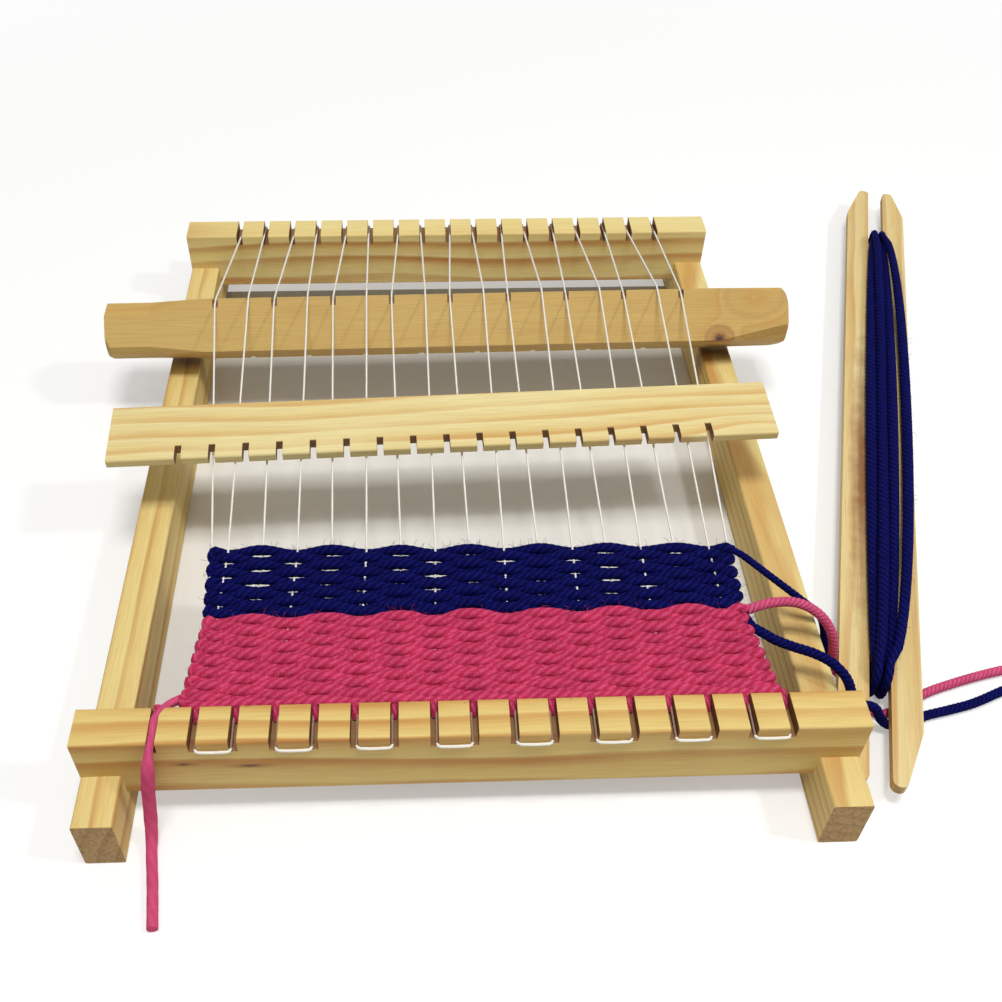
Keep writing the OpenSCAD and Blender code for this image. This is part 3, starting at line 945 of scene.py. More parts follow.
# The strand tree's inputs, with their kinds and defaults.
STRAND_INPUTS = (
    ("Ring spacing", "NodeSocketFloat", 0.001),
    ("Twist length", "NodeSocketFloat", 0.008),
    ("Plies", "NodeSocketInt", 4),
    ("Ply depth", "NodeSocketFloat", 0.16),
    ("Outline points", "NodeSocketInt", 16),
    ("Fuzz density", "NodeSocketFloat", 0.0),
    ("Finish", "NodeSocketMaterial", None),
)


@dataclass
class StrandTree:
    """Geometry Nodes that lay a twisted strand of several plies along a line.

    The fibre sizes are those of one loose fibre of the yarn's fuzz, in metres.
    """

    name: str = "twisted_strand"
    fibre_r: float = 0.00004
    fibre_root: tuple[float, float, float] = (0, 0, -0.0003)
    fibre_bend: tuple[float, float, float] = (0, 0, 0.0011)
    fibre_tip: tuple[float, float, float] = (0.0013, 0.0004, 0.0014)
    group: bpy.types.NodeTree | None = None
    sockets: dict[str, str] = field(default_factory=dict)

    def build(self) -> None:
        """Makes the tree: it spaces the rings, twists a lobed outline and sweeps it."""
        tree = bpy.data.node_groups.new(self.name, "GeometryNodeTree")
        face = tree.interface
        face.new_socket("Line", in_out="INPUT", socket_type="NodeSocketGeometry")
        for name, kind, value in STRAND_INPUTS:
            socket = face.new_socket(name, in_out="INPUT", socket_type=kind)
            if value is not None:
                socket.default_value = value
            self.sockets[name] = socket.identifier
        face.new_socket("Strand", in_out="OUTPUT", socket_type="NodeSocketGeometry")
        given = add(tree, "NodeGroupInput").outputs
        strand = self.sweep(tree, self.twisted(tree, given), self.outline(tree, given))
        links = {"Geometry": strand, "Shade Smooth": True}
        smooth = add(tree, "GeometryNodeSetShadeSmooth", links=links)
        whole = add(tree, "GeometryNodeJoinGeometry", links={0: smooth.outputs[0]})
        tree.links.new(self.fuzz(tree, strand, given["Fuzz density"]), whole.inputs[0])
        real = add(tree, "GeometryNodeRealizeInstances", links={0: whole.outputs[0]})
        links = {"Geometry": real.outputs[0], "Material": given["Finish"]}
        dressed = add(tree, "GeometryNodeSetMaterial", links=links)
        add(tree, "NodeGroupOutput", links={0: dressed.outputs[0]})
        self.group = tree

    def twisted(self, tree, given):
        """The line with evenly spaced points, each turned further than the last.

        Args:
            tree: The node tree.
            given: The sockets of the tree's inputs.

        Returns:
            The line's socket.
        """
        links = {"Curve": given["Line"], "Length": given["Ring spacing"]}
        spaced = add(tree, "GeometryNodeResampleCurve", {"mode": "LENGTH"}, links)
        run = add(tree, "GeometryNodeSplineParameter").outputs["Length"]
        angle = product(tree, maths(tree, "DIVIDE", run, given["Twist length"]), math.tau)
        links = {"Curve": spaced.outputs[0], "Tilt": angle}
        return add(tree, "GeometryNodeSetCurveTilt", links=links).outputs[0]

    def outline(self, tree, given):
        """The strand's outline of unit radius, with a lobe for each ply.

        It stores how far out each point is as the attribute crown, from 0 to 1.

        Args:
            tree: The node tree.
            given: The sockets of the tree's inputs.

        Returns:
            The outline's socket.
        """
        links = {"Resolution": given["Outline points"], "Radius": 1.0}
        circle = add(tree, "GeometryNodeCurvePrimitiveCircle", {"mode": "RADIUS"}, links)
        place = add(tree, "GeometryNodeInputPosition").outputs[0]
        x, y, _ = axes(tree, place)
        half = product(tree, maths(tree, "ARCTAN2", y, x), given["Plies"], 0.5)
        crown = maths(tree, "ABSOLUTE", maths(tree, "COSINE", half))
        inward = product(tree, maths(tree, "SUBTRACT", crown, 1.0), given["Ply depth"])
        links = {0: place, "Scale": maths(tree, "ADD", inward, 1.0)}
        lobed = add(tree, "ShaderNodeVectorMath", {"operation": "SCALE"}, links)
        settings = {"data_type": "FLOAT", "domain": "POINT"}
        links = {"Geometry": circle.outputs[0], "Name": "crown", "Value": crown}
        marked = add(tree, "GeometryNodeStoreNamedAttribute", settings, links)
        links = {"Geometry": marked.outputs[0], "Position": lobed.outputs[0]}
        return add(tree, "GeometryNodeSetPosition", links=links).outputs[0]

    def sweep(self, tree, line, outline):
        """Sweeps an outline along a line and closes its ends.

        Args:
            tree: The node tree.
            line: The line's socket.
            outline: The outline's socket.

        Returns:
            The swept mesh's socket.
        """
        links = {"Curve": line, "Profile Curve": outline, "Fill Caps": True}
        swept = add(tree, "GeometryNodeCurveToMesh", links=links)
        # Blender 4.5 scales the outline by the line's own radius only where this socket asks.
        if "Scale" in swept.inputs:
            radius = add(tree, "GeometryNodeInputRadius").outputs[0]
            tree.links.new(radius, swept.inputs["Scale"])
        return swept.outputs[0]

    def fuzz(self, tree, strand, density):
        """Loose fibres that stand off the strand's upper side, each bent its own way.

        Args:
            tree: The node tree.
            strand: The socket of the strand's mesh.
            density: The socket of fibres per square metre.

        Returns:
            The fibres' socket.
        """
        rise = axes(tree, add(tree, "GeometryNodeInputNormal").outputs[0])[2]
        upper = maths(tree, "GREATER_THAN", rise, 0.05)
        links = {"Mesh": strand, "Selection": upper, "Density": density, "Seed": 7}
        settings = {"distribute_method": "RANDOM"}
        dots = add(tree, "GeometryNodeDistributePointsOnFaces", settings, links).outputs
        bow = {
            "Resolution": 4,
            "Start": self.fibre_root,
            "Middle": self.fibre_bend,
            "End": self.fibre_tip,
        }
        line = add(tree, "GeometryNodeCurveQuadraticBezier", links=bow).outputs[0]
        links = {"Resolution": 3, "Radius": self.fibre_r}
        thin = add(tree, "GeometryNodeCurvePrimitiveCircle", {"mode": "RADIUS"}, links)
        links = {"Curve": line, "Profile Curve": thin.outputs[0], "Fill Caps": True}
        fibre = add(tree, "GeometryNodeCurveToMesh", links=links)
        # The node's sockets 2 and 3 limit a number, 0 and 1 a vector, and 8 is the seed.
        kind = {"data_type": "FLOAT"}
        size = add(tree, "FunctionNodeRandomValue", kind, {2: 0.4, 3: 1.5, 8: 3}).outputs[1]
        kind = {"data_type": "FLOAT_VECTOR"}
        links = {0: (-0.8, -0.8, 0.0), 1: (0.8, 0.8, 6.28), 8: 5}
        lean = add(tree, "FunctionNodeRandomValue", kind, links).outputs[0]
        links = {
            "Points": dots["Points"],
            "Instance": fibre.outputs[0],
            "Rotation": dots["Rotation"],
            "Scale": size,
        }
        set_out = add(tree, "GeometryNodeInstanceOnPoints", links=links)
        links = {"Instances": set_out.outputs[0], "Rotation": lean}
        return add(tree, "GeometryNodeRotateInstances", links=links).outputs[0]

    def lay(
        self,
        name: str,
        lines: list[list[tuple[Vector, float]]],
        finish,
        settings: dict[str, float],
    ):
        """Lays strands along lines and returns them as one plain mesh object.

        Args:
            name: The piece's name.
            lines: Each line's points in metres, each with its radius in metres.
            finish: The strand's material.
            settings: Values for the tree's named inputs.

        Returns:
            The new object, at the origin.
        """
        curve = bpy.data.curves.new(name + "_line", "CURVE")
        curve.dimensions = "3D"
        curve.twist_mode = "MINIMUM"
        for line in lines:
            spline = curve.splines.new("POLY")
            spline.points.add(len(line) - 1)
            for point, (place, radius) in zip(spline.points, line):
                point.co = (*place, 1.0)
                point.radius = radius
        guide = bpy.data.objects.new(name + "_line", curve)
        bpy.context.scene.collection.objects.link(guide)
        modifier = guide.modifiers.new("strand", "NODES")
        modifier.node_group = self.group
        for key, value in settings.items():
            modifier[self.sockets[key]] = value
        modifier[self.sockets["Finish"]] = finish
        bpy.context.view_layer.update()
        seen = guide.evaluated_get(bpy.context.evaluated_depsgraph_get())
        mesh = bpy.data.meshes.new_from_object(seen)
        mesh.name = name
        guide.modifiers.clear()
        bpy.data.objects.remove(guide)
        mesh.materials.clear()
        mesh.materials.append(finish)
        piece = bpy.data.objects.new(name, mesh)
        bpy.context.scene.collection.objects.link(piece)
        return piece


# The tree's inputs for four-ply yarn and for hard cotton thread. Lengths are in metres.
YARN = {
    "Ring spacing": 0.0009,
    "Twist length": -0.0075,
    "Plies": 4,
    "Ply depth": 0.1,
    "Outline points": 16,
    "Fuzz density": 0.0,
}
THREAD = {
    "Ring spacing": 0.0008,
    "Twist length": 0.004,
    "Plies": 3,
    "Ply depth": 0.14,
    "Outline points": 9,
    "Fuzz density": 0.0,
}


# Warp and weave


@dataclass
class Warp:
    """The cotton warp: one string that passes every slot once.

    Hug is how far a string lies off the middle of its slot, and low is its height there. Notch z
    and corner z are its heights at the bar. The edges are the cloth's, as pairs of distance from
    the front and place across. At the fell, the cloth's last row, the strings have drawn in to the
    fell's pitch.
    """

    slots: int = 17
    pitch: float = 12.5
    radius: float = 0.46
    turn_r: float = 0.56
    hug: float = 0.72
    low: float = 36.0
    front_face: float = -0.8
    back_face: float = 298.8
    beam_depth: float = 14.0
    back_y: float = 284.0
    loom_y: float = 298.0
    bar_x: float = -1.4
    bar_y: float = 213.9
    bar_turn: float = 0.75
    notch_z: float = 53.02
    corner_z: float = 55.62
    free_shift: float = 1.9
    knot_r: float = 1.0
    left_edge: tuple = ((16.5, -94.8), (33.0, -92.6), (49.0, -90.4), (78.5, -91.4))
    right_edge: tuple = ((16.5, 101.2), (33.0, 98.0), (49.0, 95.3), (78.5, 95.6))
    fell: float = 78.5
    fell_mid: float = 1.5
    fell_pitch: float = 12.1
    selvage: float = 2.2

    @property
    def slope(self) -> float:
        """The cloth's slope, midway between the raised and the notched strings, in radians."""
        rise = (self.notch_z + self.corner_z) / 2 - self.low
        return math.atan(rise / (self.bar_y - self.front_face))

    def slot_x(self, i: int) -> float:
        """Finds a slot.

        Args:
            i: The slot's number from the left.

        Returns:
            Its place across the loom.
        """
        return (i - (self.slots - 1) / 2) * self.pitch

    def high(self, i: int) -> bool:
        """Tells the raised strings from the notched ones.

        Args:
            i: The string's number from the left.

        Returns:
            Whether it rides over the bar's corner.
        """
        return i % 2 == 1

    def woven_x(self, i: int, y: float) -> float:
        """Where string i runs through the woven band.

        Args:
            i: The string's number from the left.
            y: The distance from the front beam's face.

        Returns:
            Its place across the loom.
        """
        t = min(1.0, y / self.fell)
        free = mix(self.slot_x(i), self.fell_mid + (i - (self.slots - 1) / 2) * self.fell_pitch, t)
        left = lookup(y, self.left_edge) + self.selvage
        right = lookup(y, self.right_edge) - self.selvage
        return max(left, min(right, free))

    def run(self, i: int) -> tuple[list[tuple], list[tuple]]:
        """One string from its front slot to the bar, and on from the bar to its back slot.

        Args:
            i: The string's number from the left.

        Returns:
            The points before and after the bar's corner.
        """
        shift = self.free_shift if self.high(i) else 0.0
        x_bar = self.bar_x + self.slot_x(i) + shift
        y_bar = self.bar_y + (x_bar - self.bar_x) * math.tan(math.radians(self.bar_turn))
        z_bar = self.corner_z if self.high(i) else self.notch_z
        seat = 0.8 if self.high(i) else 2.6
        rise = (z_bar - self.low) / (y_bar - seat - self.front_face)
        fall = (z_bar - self.low) / (self.back_face - y_bar - seat)

        def up(y: float) -> float:
            """The string's height on its way up to the bar."""
            return self.low + rise * (y - self.front_face)

        near, far = self.slot_x(i) + self.side(i, True), self.slot_x(i) + self.side(i, False)
        front = [(near, 1.0, up(1.0)), (near, self.beam_depth - 0.6, up(self.beam_depth) - 0.2)]
        front += [(self.woven_x(i, 18.5), 18.0, up(18.0) - 0.7)]
        front += [(self.woven_x(i, y), y, up(y)) for y in (24.0, 33.0, 49.0, 62.0, 75.5)]
        front += [(x_bar, y_bar - seat, z_bar), (x_bar, y_bar, z_bar + 0.05)]
        back = [(x_bar, y_bar, z_bar + 0.05), (x_bar, y_bar + seat, z_bar)]
        back += [
            (far, self.back_y, self.low + fall * (self.back_face - self.back_y)),
            (far, self.loom_y - 1, self.low + fall * (self.back_face - self.loom_y + 1)),
        ]
        return front, back

    def side(self, i: int, front: bool) -> float:
        """Which wall of its slot a string lies against: that of the tooth that it goes round.

        Args:
            i: The string's number from the left.
            front: Whether the slot is in the front beam.

        Returns:
            How far it lies from the slot's middle.
        """
        if i in (0, self.slots - 1) and front == (i == 0):
            return 0.0
        return self.hug if (i % 2 == 1) == front else -self.hug

    def tooth_turn(self, i: int, face: float) -> list[tuple]:
        """The stretch round the tooth between slots i and i + 1, on one face of a beam.

        Args:
            i: The slot on the tooth's left.
            face: Where the string's middle lies in front of or behind the beam.

        Returns:
            The points, from left to right, with the corners into the slots rounded.
        """
        inside = 1.0 if face < 0 else -1.0
        a, b = self.slot_x(i) + self.hug, self.slot_x(i + 1) - self.hug
        return [
            (a, face + inside * 1.8, self.low),
            (a, face + inside * 0.6, self.low),
            (a + 0.6, face, self.low - 0.05),
            ((a + b) / 2, face - inside * 0.05, self.low - 0.2),
            (b - 0.6, face, self.low - 0.05),
            (b, face + inside * 0.6, self.low),
            (b, face + inside * 1.8, self.low),
        ]

    def line(self, points: list[tuple], radius: float | None = None) -> list[tuple[Vector, float]]:
        """Turns points in the loom's measures into a line for the strand tree.

        Args:
            points: The points.
            radius: The line's radius, or None for the string's own.

        Returns:
            Each point and its radius in metres.
        """
        return [(LAYOUT.point(*p), (radius or self.radius) * MM) for p in points]

    def build(self, tree: StrandTree, finish) -> None:
        """Makes the strings, lets them rise and sink with the bar, and seats their knots.

        Args:
            tree: The strand tree.
            finish: The cotton's material.
        """
        raised = [self.run(i) for i in range(self.slots) if self.high(i)]
        notched = [self.run(i) for i in range(self.slots) if not self.high(i)]
        teeth = range(self.slots - 1)
        turns = [self.line(self.tooth_turn(i, self.front_face), self.turn_r) for i in teeth[1::2]]
        turns += [self.line(self.tooth_turn(i, self.back_face)) for i in teeth[::2]]
        groups = {
            "warp_raised_strings": [self.line(front + back[1:]) for front, back in raised],
            "warp_notched_strings_front": [self.line(front) for front, _ in notched],
            "warp_notched_strings_back": [self.line(back) for _, back in notched],
            "warp_tooth_turns": turns + self.knots(),
        }
        made = {}
        for name, lines in groups.items():
            piece = tree.lay(name, lines, finish, THREAD)
            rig.ride(piece, "frame")
            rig.slot(piece, "cotton_string")
            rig.replaces(piece, "warp_string")
            made[name] = piece
            LOG.info("%s: %d lines", name, len(lines))
        keep = (self.notch_z - self.low) / (self.corner_z - self.low)
        still = LAYOUT.point(0, 0, self.low)
        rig.squash(made["warp_raised_strings"], "heddle_turn", (0, 0, 1), still, keep=keep)
        self.lift(made["warp_notched_strings_front"], self.front_face, 80.0, 1.0)
        self.lift(made["warp_notched_strings_back"], self.back_face, 70.0, -1.0)

    def lift(self, piece, face: float, steep: float, way: float) -> None:
        """Lets strings rise at the bar as it turns over, with their slot ends held.

        Args:
            piece: The strings.
            face: Where they leave their beam.
            steep: How far below the level the direction of the move points, in degrees.
            way: 1 for strings that run towards the back, -1 for those that run forwards.
        """
        along = Vector((0, self.bar_y - face, self.notch_z - self.low))
        axis = Vector((0, way * math.cos(math.radians(steep)), -math.sin(math.radians(steep))))
        reach = along.dot(axis)
        gain = (self.corner_z - self.notch_z) / (abs(reach) * math.sin(math.radians(steep)))
        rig.squash(piece, "heddle_turn", axis, LAYOUT.point(0, face, self.low), keep=1 - gain)

    def knots(self) -> list[list[tuple[Vector, float]]]:
        """The overhand knots at the string's two ends.

        Returns:
            One short, tightly curled line for each knot.
        """
        lines = []
        coil_r = 0.6
        for x, face, way in (
            (self.slot_x(0) - 0.5, self.front_face, -1.0),
            (self.slot_x(self.slots - 1), self.back_face, 1.0),
        ):
            middle = face + way * self.knot_r * 0.9
            points = [(x, face - way * 1.8, self.low)]
            for k in range(13):
                a = math.tau * k / 12 * 1.5
                y = middle + way * 0.5 * (k / 6 - 1)
                z = self.low - 0.2 + coil_r * math.cos(a)
                points.append((x + coil_r * math.sin(a), y, z))
            points.append((x + 0.3, middle + way * 0.9, self.low - 1.2))
            lines.append(self.line(points))
        return lines


@dataclass
class Stripe:
    """One woven stripe of a single yarn, laid row by row from edge to edge.

    Over says whether even rows go over the even strings (0) or the odd ones (1). Opening above 1
    spaces the last rows wider, and uneven is how much the strings change the yarn's thickness.
    Swing is how far the yarn's middle goes up and down, turn out how far its turns reach past the
    edge, and into slots how far the first row is pressed into the beam's slots.
    """

    name: str
    slot: str
    node: str
    first_y: float
    last_y: tuple[float, float]
    rows: int
    starts_left: bool
    over: int
    crown_r: float
    under_r: float
    swing: float = 0.95
    opening: float = 1.0
    turn_out: float = 0.4
    uneven: float = 0.05
    ply_depth: float = 0.1
    twist: float = -0.0105
    into_slots: float = 0.0
    fuzz: float = 0.0
    starts_from: tuple[float, float, float] | None = None
    leaves_to: tuple[float, float, float] | None = None
    seed: int = 3

    @property
    def middle_r(self) -> float:
        """The yarn's radius where it is neither squeezed nor full."""
        return (self.crown_r + self.under_r) / 2

    def row_y(self, row: int, left: bool) -> float:
        """How far a row lies from the front, at one of its ends.

        Args:
            row: The row's number, from 0.
            left: Whether the left end is meant.

        Returns:
            The distance from the front beam's face.
        """
        share = ((row + 0.5) / self.rows) ** self.opening
        return mix(self.first_y, self.last_y[0 if left else 1], share)

    def build(self, warp: Warp, tree: StrandTree, finish) -> None:
        """Weaves the stripe through the warp.

        Args:
            warp: The warp that it goes over and under.
            tree: The strand tree.
            finish: The yarn's material.
        """
        dice = random.Random(self.seed)
        line: list[tuple[Vector, float]] = []
        for row in range(self.rows):
            rightward = (row % 2 == 0) == self.starts_left
            points = self.row(warp, row, dice)
            if not rightward:
                points.reverse()
            if line:
                points = points[1:]
            if row < self.rows - 1:
                points = points[:-1]
            for x, y, height, radius in points:
                line.append((self.on_cloth(warp, x, y, height), radius * MM))
            if row < self.rows - 1:
                line += self.edge_turn(warp, row, rightward, points[-1])
        if self.starts_from:
            line = [(LAYOUT.point(*self.starts_from), self.middle_r * MM), *line[1:]]
        if self.leaves_to:
            line = [*line[:-1], (LAYOUT.point(*self.leaves_to), self.middle_r * MM)]
        lines = [line]
        if self.into_slots:
            lines += [self.pressed(warp, warp.slot_x(i)) for i in range(warp.slots)]
        spun = {"Twist length": self.twist, "Ply depth": self.ply_depth, "Fuzz density": self.fuzz}
        piece = tree.lay(self.name, lines, finish, {**YARN, **spun})
        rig.ride(piece, "frame")
        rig.slot(piece, self.slot)
        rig.replaces(piece, self.node)
        LOG.info("%s: %.2f m of yarn", self.name, route_length([p for p, _ in line]))

    def edge_turn(
        self, warp: Warp, row: int, rightward: bool, last: tuple[float, float, float, float]
    ) -> list[tuple[Vector, float]]:
        """The yarn's turn at the cloth's edge, from one row to the next.

        Args:
            warp: The warp.
            row: The row that it leaves.
            rightward: Whether it is at the right edge.
            last: The x, y, height and radius of the row's last point.

        Returns:
            Its points and radii in metres.
        """
        step = self.row_y(row + 1, not rightward) - self.row_y(row, not rightward)
        x, y, height, _ = last
        out = self.turn_out if rightward else -self.turn_out
        line = []
        for a in (40, 90, 140):
            s = math.sin(math.radians(a))
            c = math.cos(math.radians(a))
            place = self.on_cloth(warp, x + out * (0.3 + s), y + step * (1 - c) / 2, height * c)
            line.append((place, self.middle_r * MM))
        return line

    def pressed(self, warp: Warp, x: float) -> list[tuple[Vector, float]]:
        """The first row's yarn where it is pressed into the rear end of a slot.

        Args:
            warp: The warp.
            x: The slot's place across the loom.

        Returns:
            Its points and radii in metres.
        """
        end = warp.beam_depth - self.into_slots
        line = []
        for y, above_string, radius in (
            (warp.beam_depth + 1.8, 1.7, 1.28),
            (warp.beam_depth, 1.5, 1.26),
            (end + 1.0, 0.8, 1.2),
            (end, -0.6, 1.0),
        ):
            line.append((LAYOUT.point(x, y, warp.low + above_string), radius * MM))
        return line

    def row(self, warp: Warp, row: int, dice: random.Random) -> list[tuple]:
        """One row from the left edge to the right, over one string and under the next.

        Args:
            warp: The warp.
            row: The row's number, from 0.
            dice: The source of its small unevenness.

        Returns:
            For each point its x, y, height over the cloth's middle plane and radius.
        """
        left_y, right_y = self.row_y(row, True), self.row_y(row, False)
        mean_y = (left_y + right_y) / 2
        strings = [warp.woven_x(i, mean_y) for i in range(warp.slots)]
        left = lookup(left_y, warp.left_edge) + self.middle_r
        right = lookup(right_y, warp.right_edge) - self.middle_r
        steps = int((right - left) / 1.6)
        turns = [dice.uniform(0, math.tau) for _ in range(4)]
        odds = list(enumerate(dice.uniform(-1, 1) for _ in strings))
        points = []
        for k in range(steps + 1):
            x = mix(left, right, k / steps)
            u = self.count(x, strings)
            over = math.cos(math.pi * (u + row + self.over))
            height = self.swing * over * (1 + 0.15 * math.sin(turns[0] + x / 9))
            if row == 0 and self.starts_left:
                height = 0.5 + 0.3 * height
            swell = (1 + over) / 2
            drift = 0.14 * math.sin(turns[1] + x / 17) + 0.1 * math.sin(turns[2] + x / 6.5)
            y = mix(left_y, right_y, k / steps) + drift
            plump = 1 + 0.04 * math.sin(turns[3] + x / 4.3) + self.uneven * lookup(u, odds)
            radius = mix(self.under_r, self.crown_r, swell) * plump
            points.append((x, y, height, radius))
        return points

    def count(self, x: float, strings: list[float]) -> float:
        """Counts the strings up to a place.

        Args:
            x: The place across the loom.
            strings: Where the strings are.

        Returns:
            The string's number, growing evenly from one string to the next.
        """
        for i, (a, b) in enumerate(zip(strings, strings[1:])):
            if x <= b or i == len(strings) - 2:
                return i + (x - a) / (b - a)
        return 0.0

    def on_cloth(self, warp: Warp, x: float, y: float, height: float) -> Vector:
        """A place on the cloth, lifted off its middle plane.

        Args:
            warp: The warp, for the plane's height and slope.
            x: The place across the loom.
            y: The distance from the front.
            height: How far it is above the cloth's middle plane.

        Returns:
            The place in metres.
        """
        tilt = warp.slope
        z = warp.low + (y - warp.front_face) * math.tan(tilt)
        return LAYOUT.point(x, y - height * math.sin(tilt), z + height * math.cos(tilt))


# Shuttle


@dataclass
class Shuttle:
    """The stick shuttle and the yarn wound round it, measured along and across the stick.

    Its near tip is at x and y, and turn says how far the stick points to the right of straight
    back. Near slack is how far the yarn's turns stand off the bottom of the near fork. Hook is the
    yarn's start under the stick, as places across and along it, and the bows are the places across
    of its runs at mid length.
    """

    x: float = 134.3
    y: float = -3.4
    turn: float = 15.9
    length: float = 385.5
    thick: float = 4.0
    fork: float = 54.0
    yarn_r: float = 1.6
    loose_r: float = 2.33
    rest: float = 0.3
    lay_gap: float = 0.6
    bend_r: float = 2.0
    near_slack: float = 7.3
    hook: tuple = ((-12.6, 66.0), (-11.8, 71.5), (-8.6, 74.6), (-5.4, 72.0), (-4.2, 66.0), (-3.0, 56.0))
    top_bows: tuple = (-3.5, 1.1, 5.7, 11.6)
    under_bows: tuple = (0.0, -1.8, 2.8, 7.4, 12.0)
    steps: int = 36
    last_share: float = 0.36
    wood: Pine = Pine(
        "pine_shuttle",
        Grain.SHUTTLE,
        (15.0, 70.0, -16.0),
        7.8,
        pale="#e2d09a",
        body="#d6b774",
        late_strength=0.6,
        band=0.2,
        # Painted shade: a brown patch on the left prong beside the winding, where the yarn shades the stick.
        shade_patch=ShadePatch((170.0, 147.0, 11.0), 66.0, 3.5, "#98562a"),
    )

    @property
    def layer(self) -> float:
        """The height from one layer of yarn to the next."""
        return 2 * self.yarn_r + self.lay_gap

    @property
    def bottom(self) -> float:
        """The height of the stick's underside."""
        return self.rest + 2 * self.yarn_r + self.layer

    def point(self, across: float, along: float, z: float) -> Vector:
        """Finds a place on the shuttle.

        Args:
            across: Millimetres across the stick from its middle line.
            along: Millimetres along it from its near tip.
            z: Millimetres above the table.

        Returns:
            The place in the row frame's metres.
        """
        a = math.radians(self.turn)
        return LAYOUT.point(
            self.x + across * math.cos(a) + along * math.sin(a),
            self.y - across * math.sin(a) + along * math.cos(a),
            z,
        )

    def pass_at(self, k: int, far: bool) -> tuple[float, float, float]:
        """Pass k through a fork: its column, its place along the stick and its bend.

        Args:
            k: The pass, from 0.
            far: Whether it is at the far fork.

        Returns:
            Its place across, its place along, and the radius of its bend.
        """
        row = k % 2
        column = (-1 if k < 2 else 1) * self.layer / 2
        inset = self.rest + self.yarn_r + row * self.layer
        bend = self.bend_r + row * self.layer
        if far:
            return column, self.length - self.fork + inset, bend
        return column, self.fork - self.near_slack - inset, bend

    def run(
        self, start: int, end: int, from_far: bool, bow: float, top: bool, share: float
    ) -> list[tuple[Vector, float]]:
        """One lengthwise run from a pass at one fork to a pass at the other.

        Args:
            start: The pass that it leaves.
            end: The pass that it reaches.
            from_far: Whether it leaves the far fork.
            bow: Its place across at mid length.
            top: Whether it lies on the stick's upper face.
            share: How much of the run to make.

        Returns:
            Its points and radii in metres.
        """
        x0, y0, r0 = self.pass_at(start, from_far)
        x1, y1, r1 = self.pass_at(end, not from_far)
        inward = -1 if from_far else 1
        y0 += inward * r0
        y1 -= inward * r1
        points = []
        for k in range(int(self.steps * share) + 1):
            t = k / self.steps
            b = math.sqrt(max(0.0, math.sin(math.pi * t)))
            across = mix(mix(x0, x1, t), bow, b)
            row = start % 2 if t < 0.5 else end % 2
            lift = row * math.cos(math.pi * t) ** 2 * self.layer
            full = mix(self.yarn_r, self.loose_r, b)
            z = self.face(top) + (lift + full - self.yarn_r if top else -lift)
            points.append((self.point(across, mix(y0, y1, t), z), full * MM))
        return points

    def face(self, top: bool) -> float:
        """The height of the innermost layer of yarn on one face of the stick.

        Args:
            top: Whether the upper face is meant.

        Returns:
            The height of the layer's middle.
        """
        if top:
            return self.bottom + self.thick + self.rest + self.yarn_r
        return self.bottom - self.rest - self.yarn_r

    def bend(self, k: int, far: bool, down: bool) -> list[tuple[Vector, float]]:
        """The yarn's way through a fork, between the stick's two faces.

        Args:
            k: The pass.
            far: Whether it is at the far fork.
            down: Whether it goes from the upper face to the underside.

        Returns:
            Its points and radii in metres.
        """
        across, along, r = self.pass_at(k, far)
        out = 1 if far else -1
        centre = along - out * r
        upper, lower = [], []
        for a in (15, 30, 45, 60, 75, 90):
            y = centre + out * r * math.sin(math.radians(a))
            rise = r * math.cos(math.radians(a))
            upper.append(self.point(across, y, self.face(True) - self.bend_r + rise))
            lower.append(self.point(across, y, self.face(False) + self.bend_r - rise))
        whole = [(place, self.yarn_r * MM) for place in upper + lower[::-1]]
        return whole if down else whole[::-1]

    def winding(self) -> list[tuple[Vector, float]]:
        """The whole way of the yarn round the stick, from its start under it."""
        hook = [self.point(x, y, self.face(False)) for x, y in self.hook]
        line = [(place, self.yarn_r * MM) for place in smooth_route(hook, 5)]
        for k in range(4):
            if k:
                line += self.run(k - 1, k, True, self.under_bows[k], False, 1.0)
            line += self.bend(k, False, False)
            line += self.run(k, k, False, self.top_bows[k], True, 1.0)
            line += self.bend(k, True, True)
        return line + self.run(3, 3, True, self.under_bows[4], False, self.last_share)

    def build(self, tree: StrandTree, yarn) -> None:
        """Dresses the stick and winds the yarn.

        Args:
            tree: The strand tree.
            yarn: The yarn's material.
        """
        dress("shuttle", self.wood.material())
        line = self.winding()
        spun = {"Ring spacing": 0.0012, "Twist length": -0.011, "Fuzz density": 7e4}
        piece = tree.lay("shuttle_yarn", [line], yarn, {**YARN, **spun})
        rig.ride(piece, "stick_shuttle")
        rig.slot(piece, "navy_yarn")
        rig.replaces(piece, "shuttle_winding")
        LOG.info("shuttle_yarn: %.2f m of yarn", route_length([p for p, _ in line]))


# Loose yarn


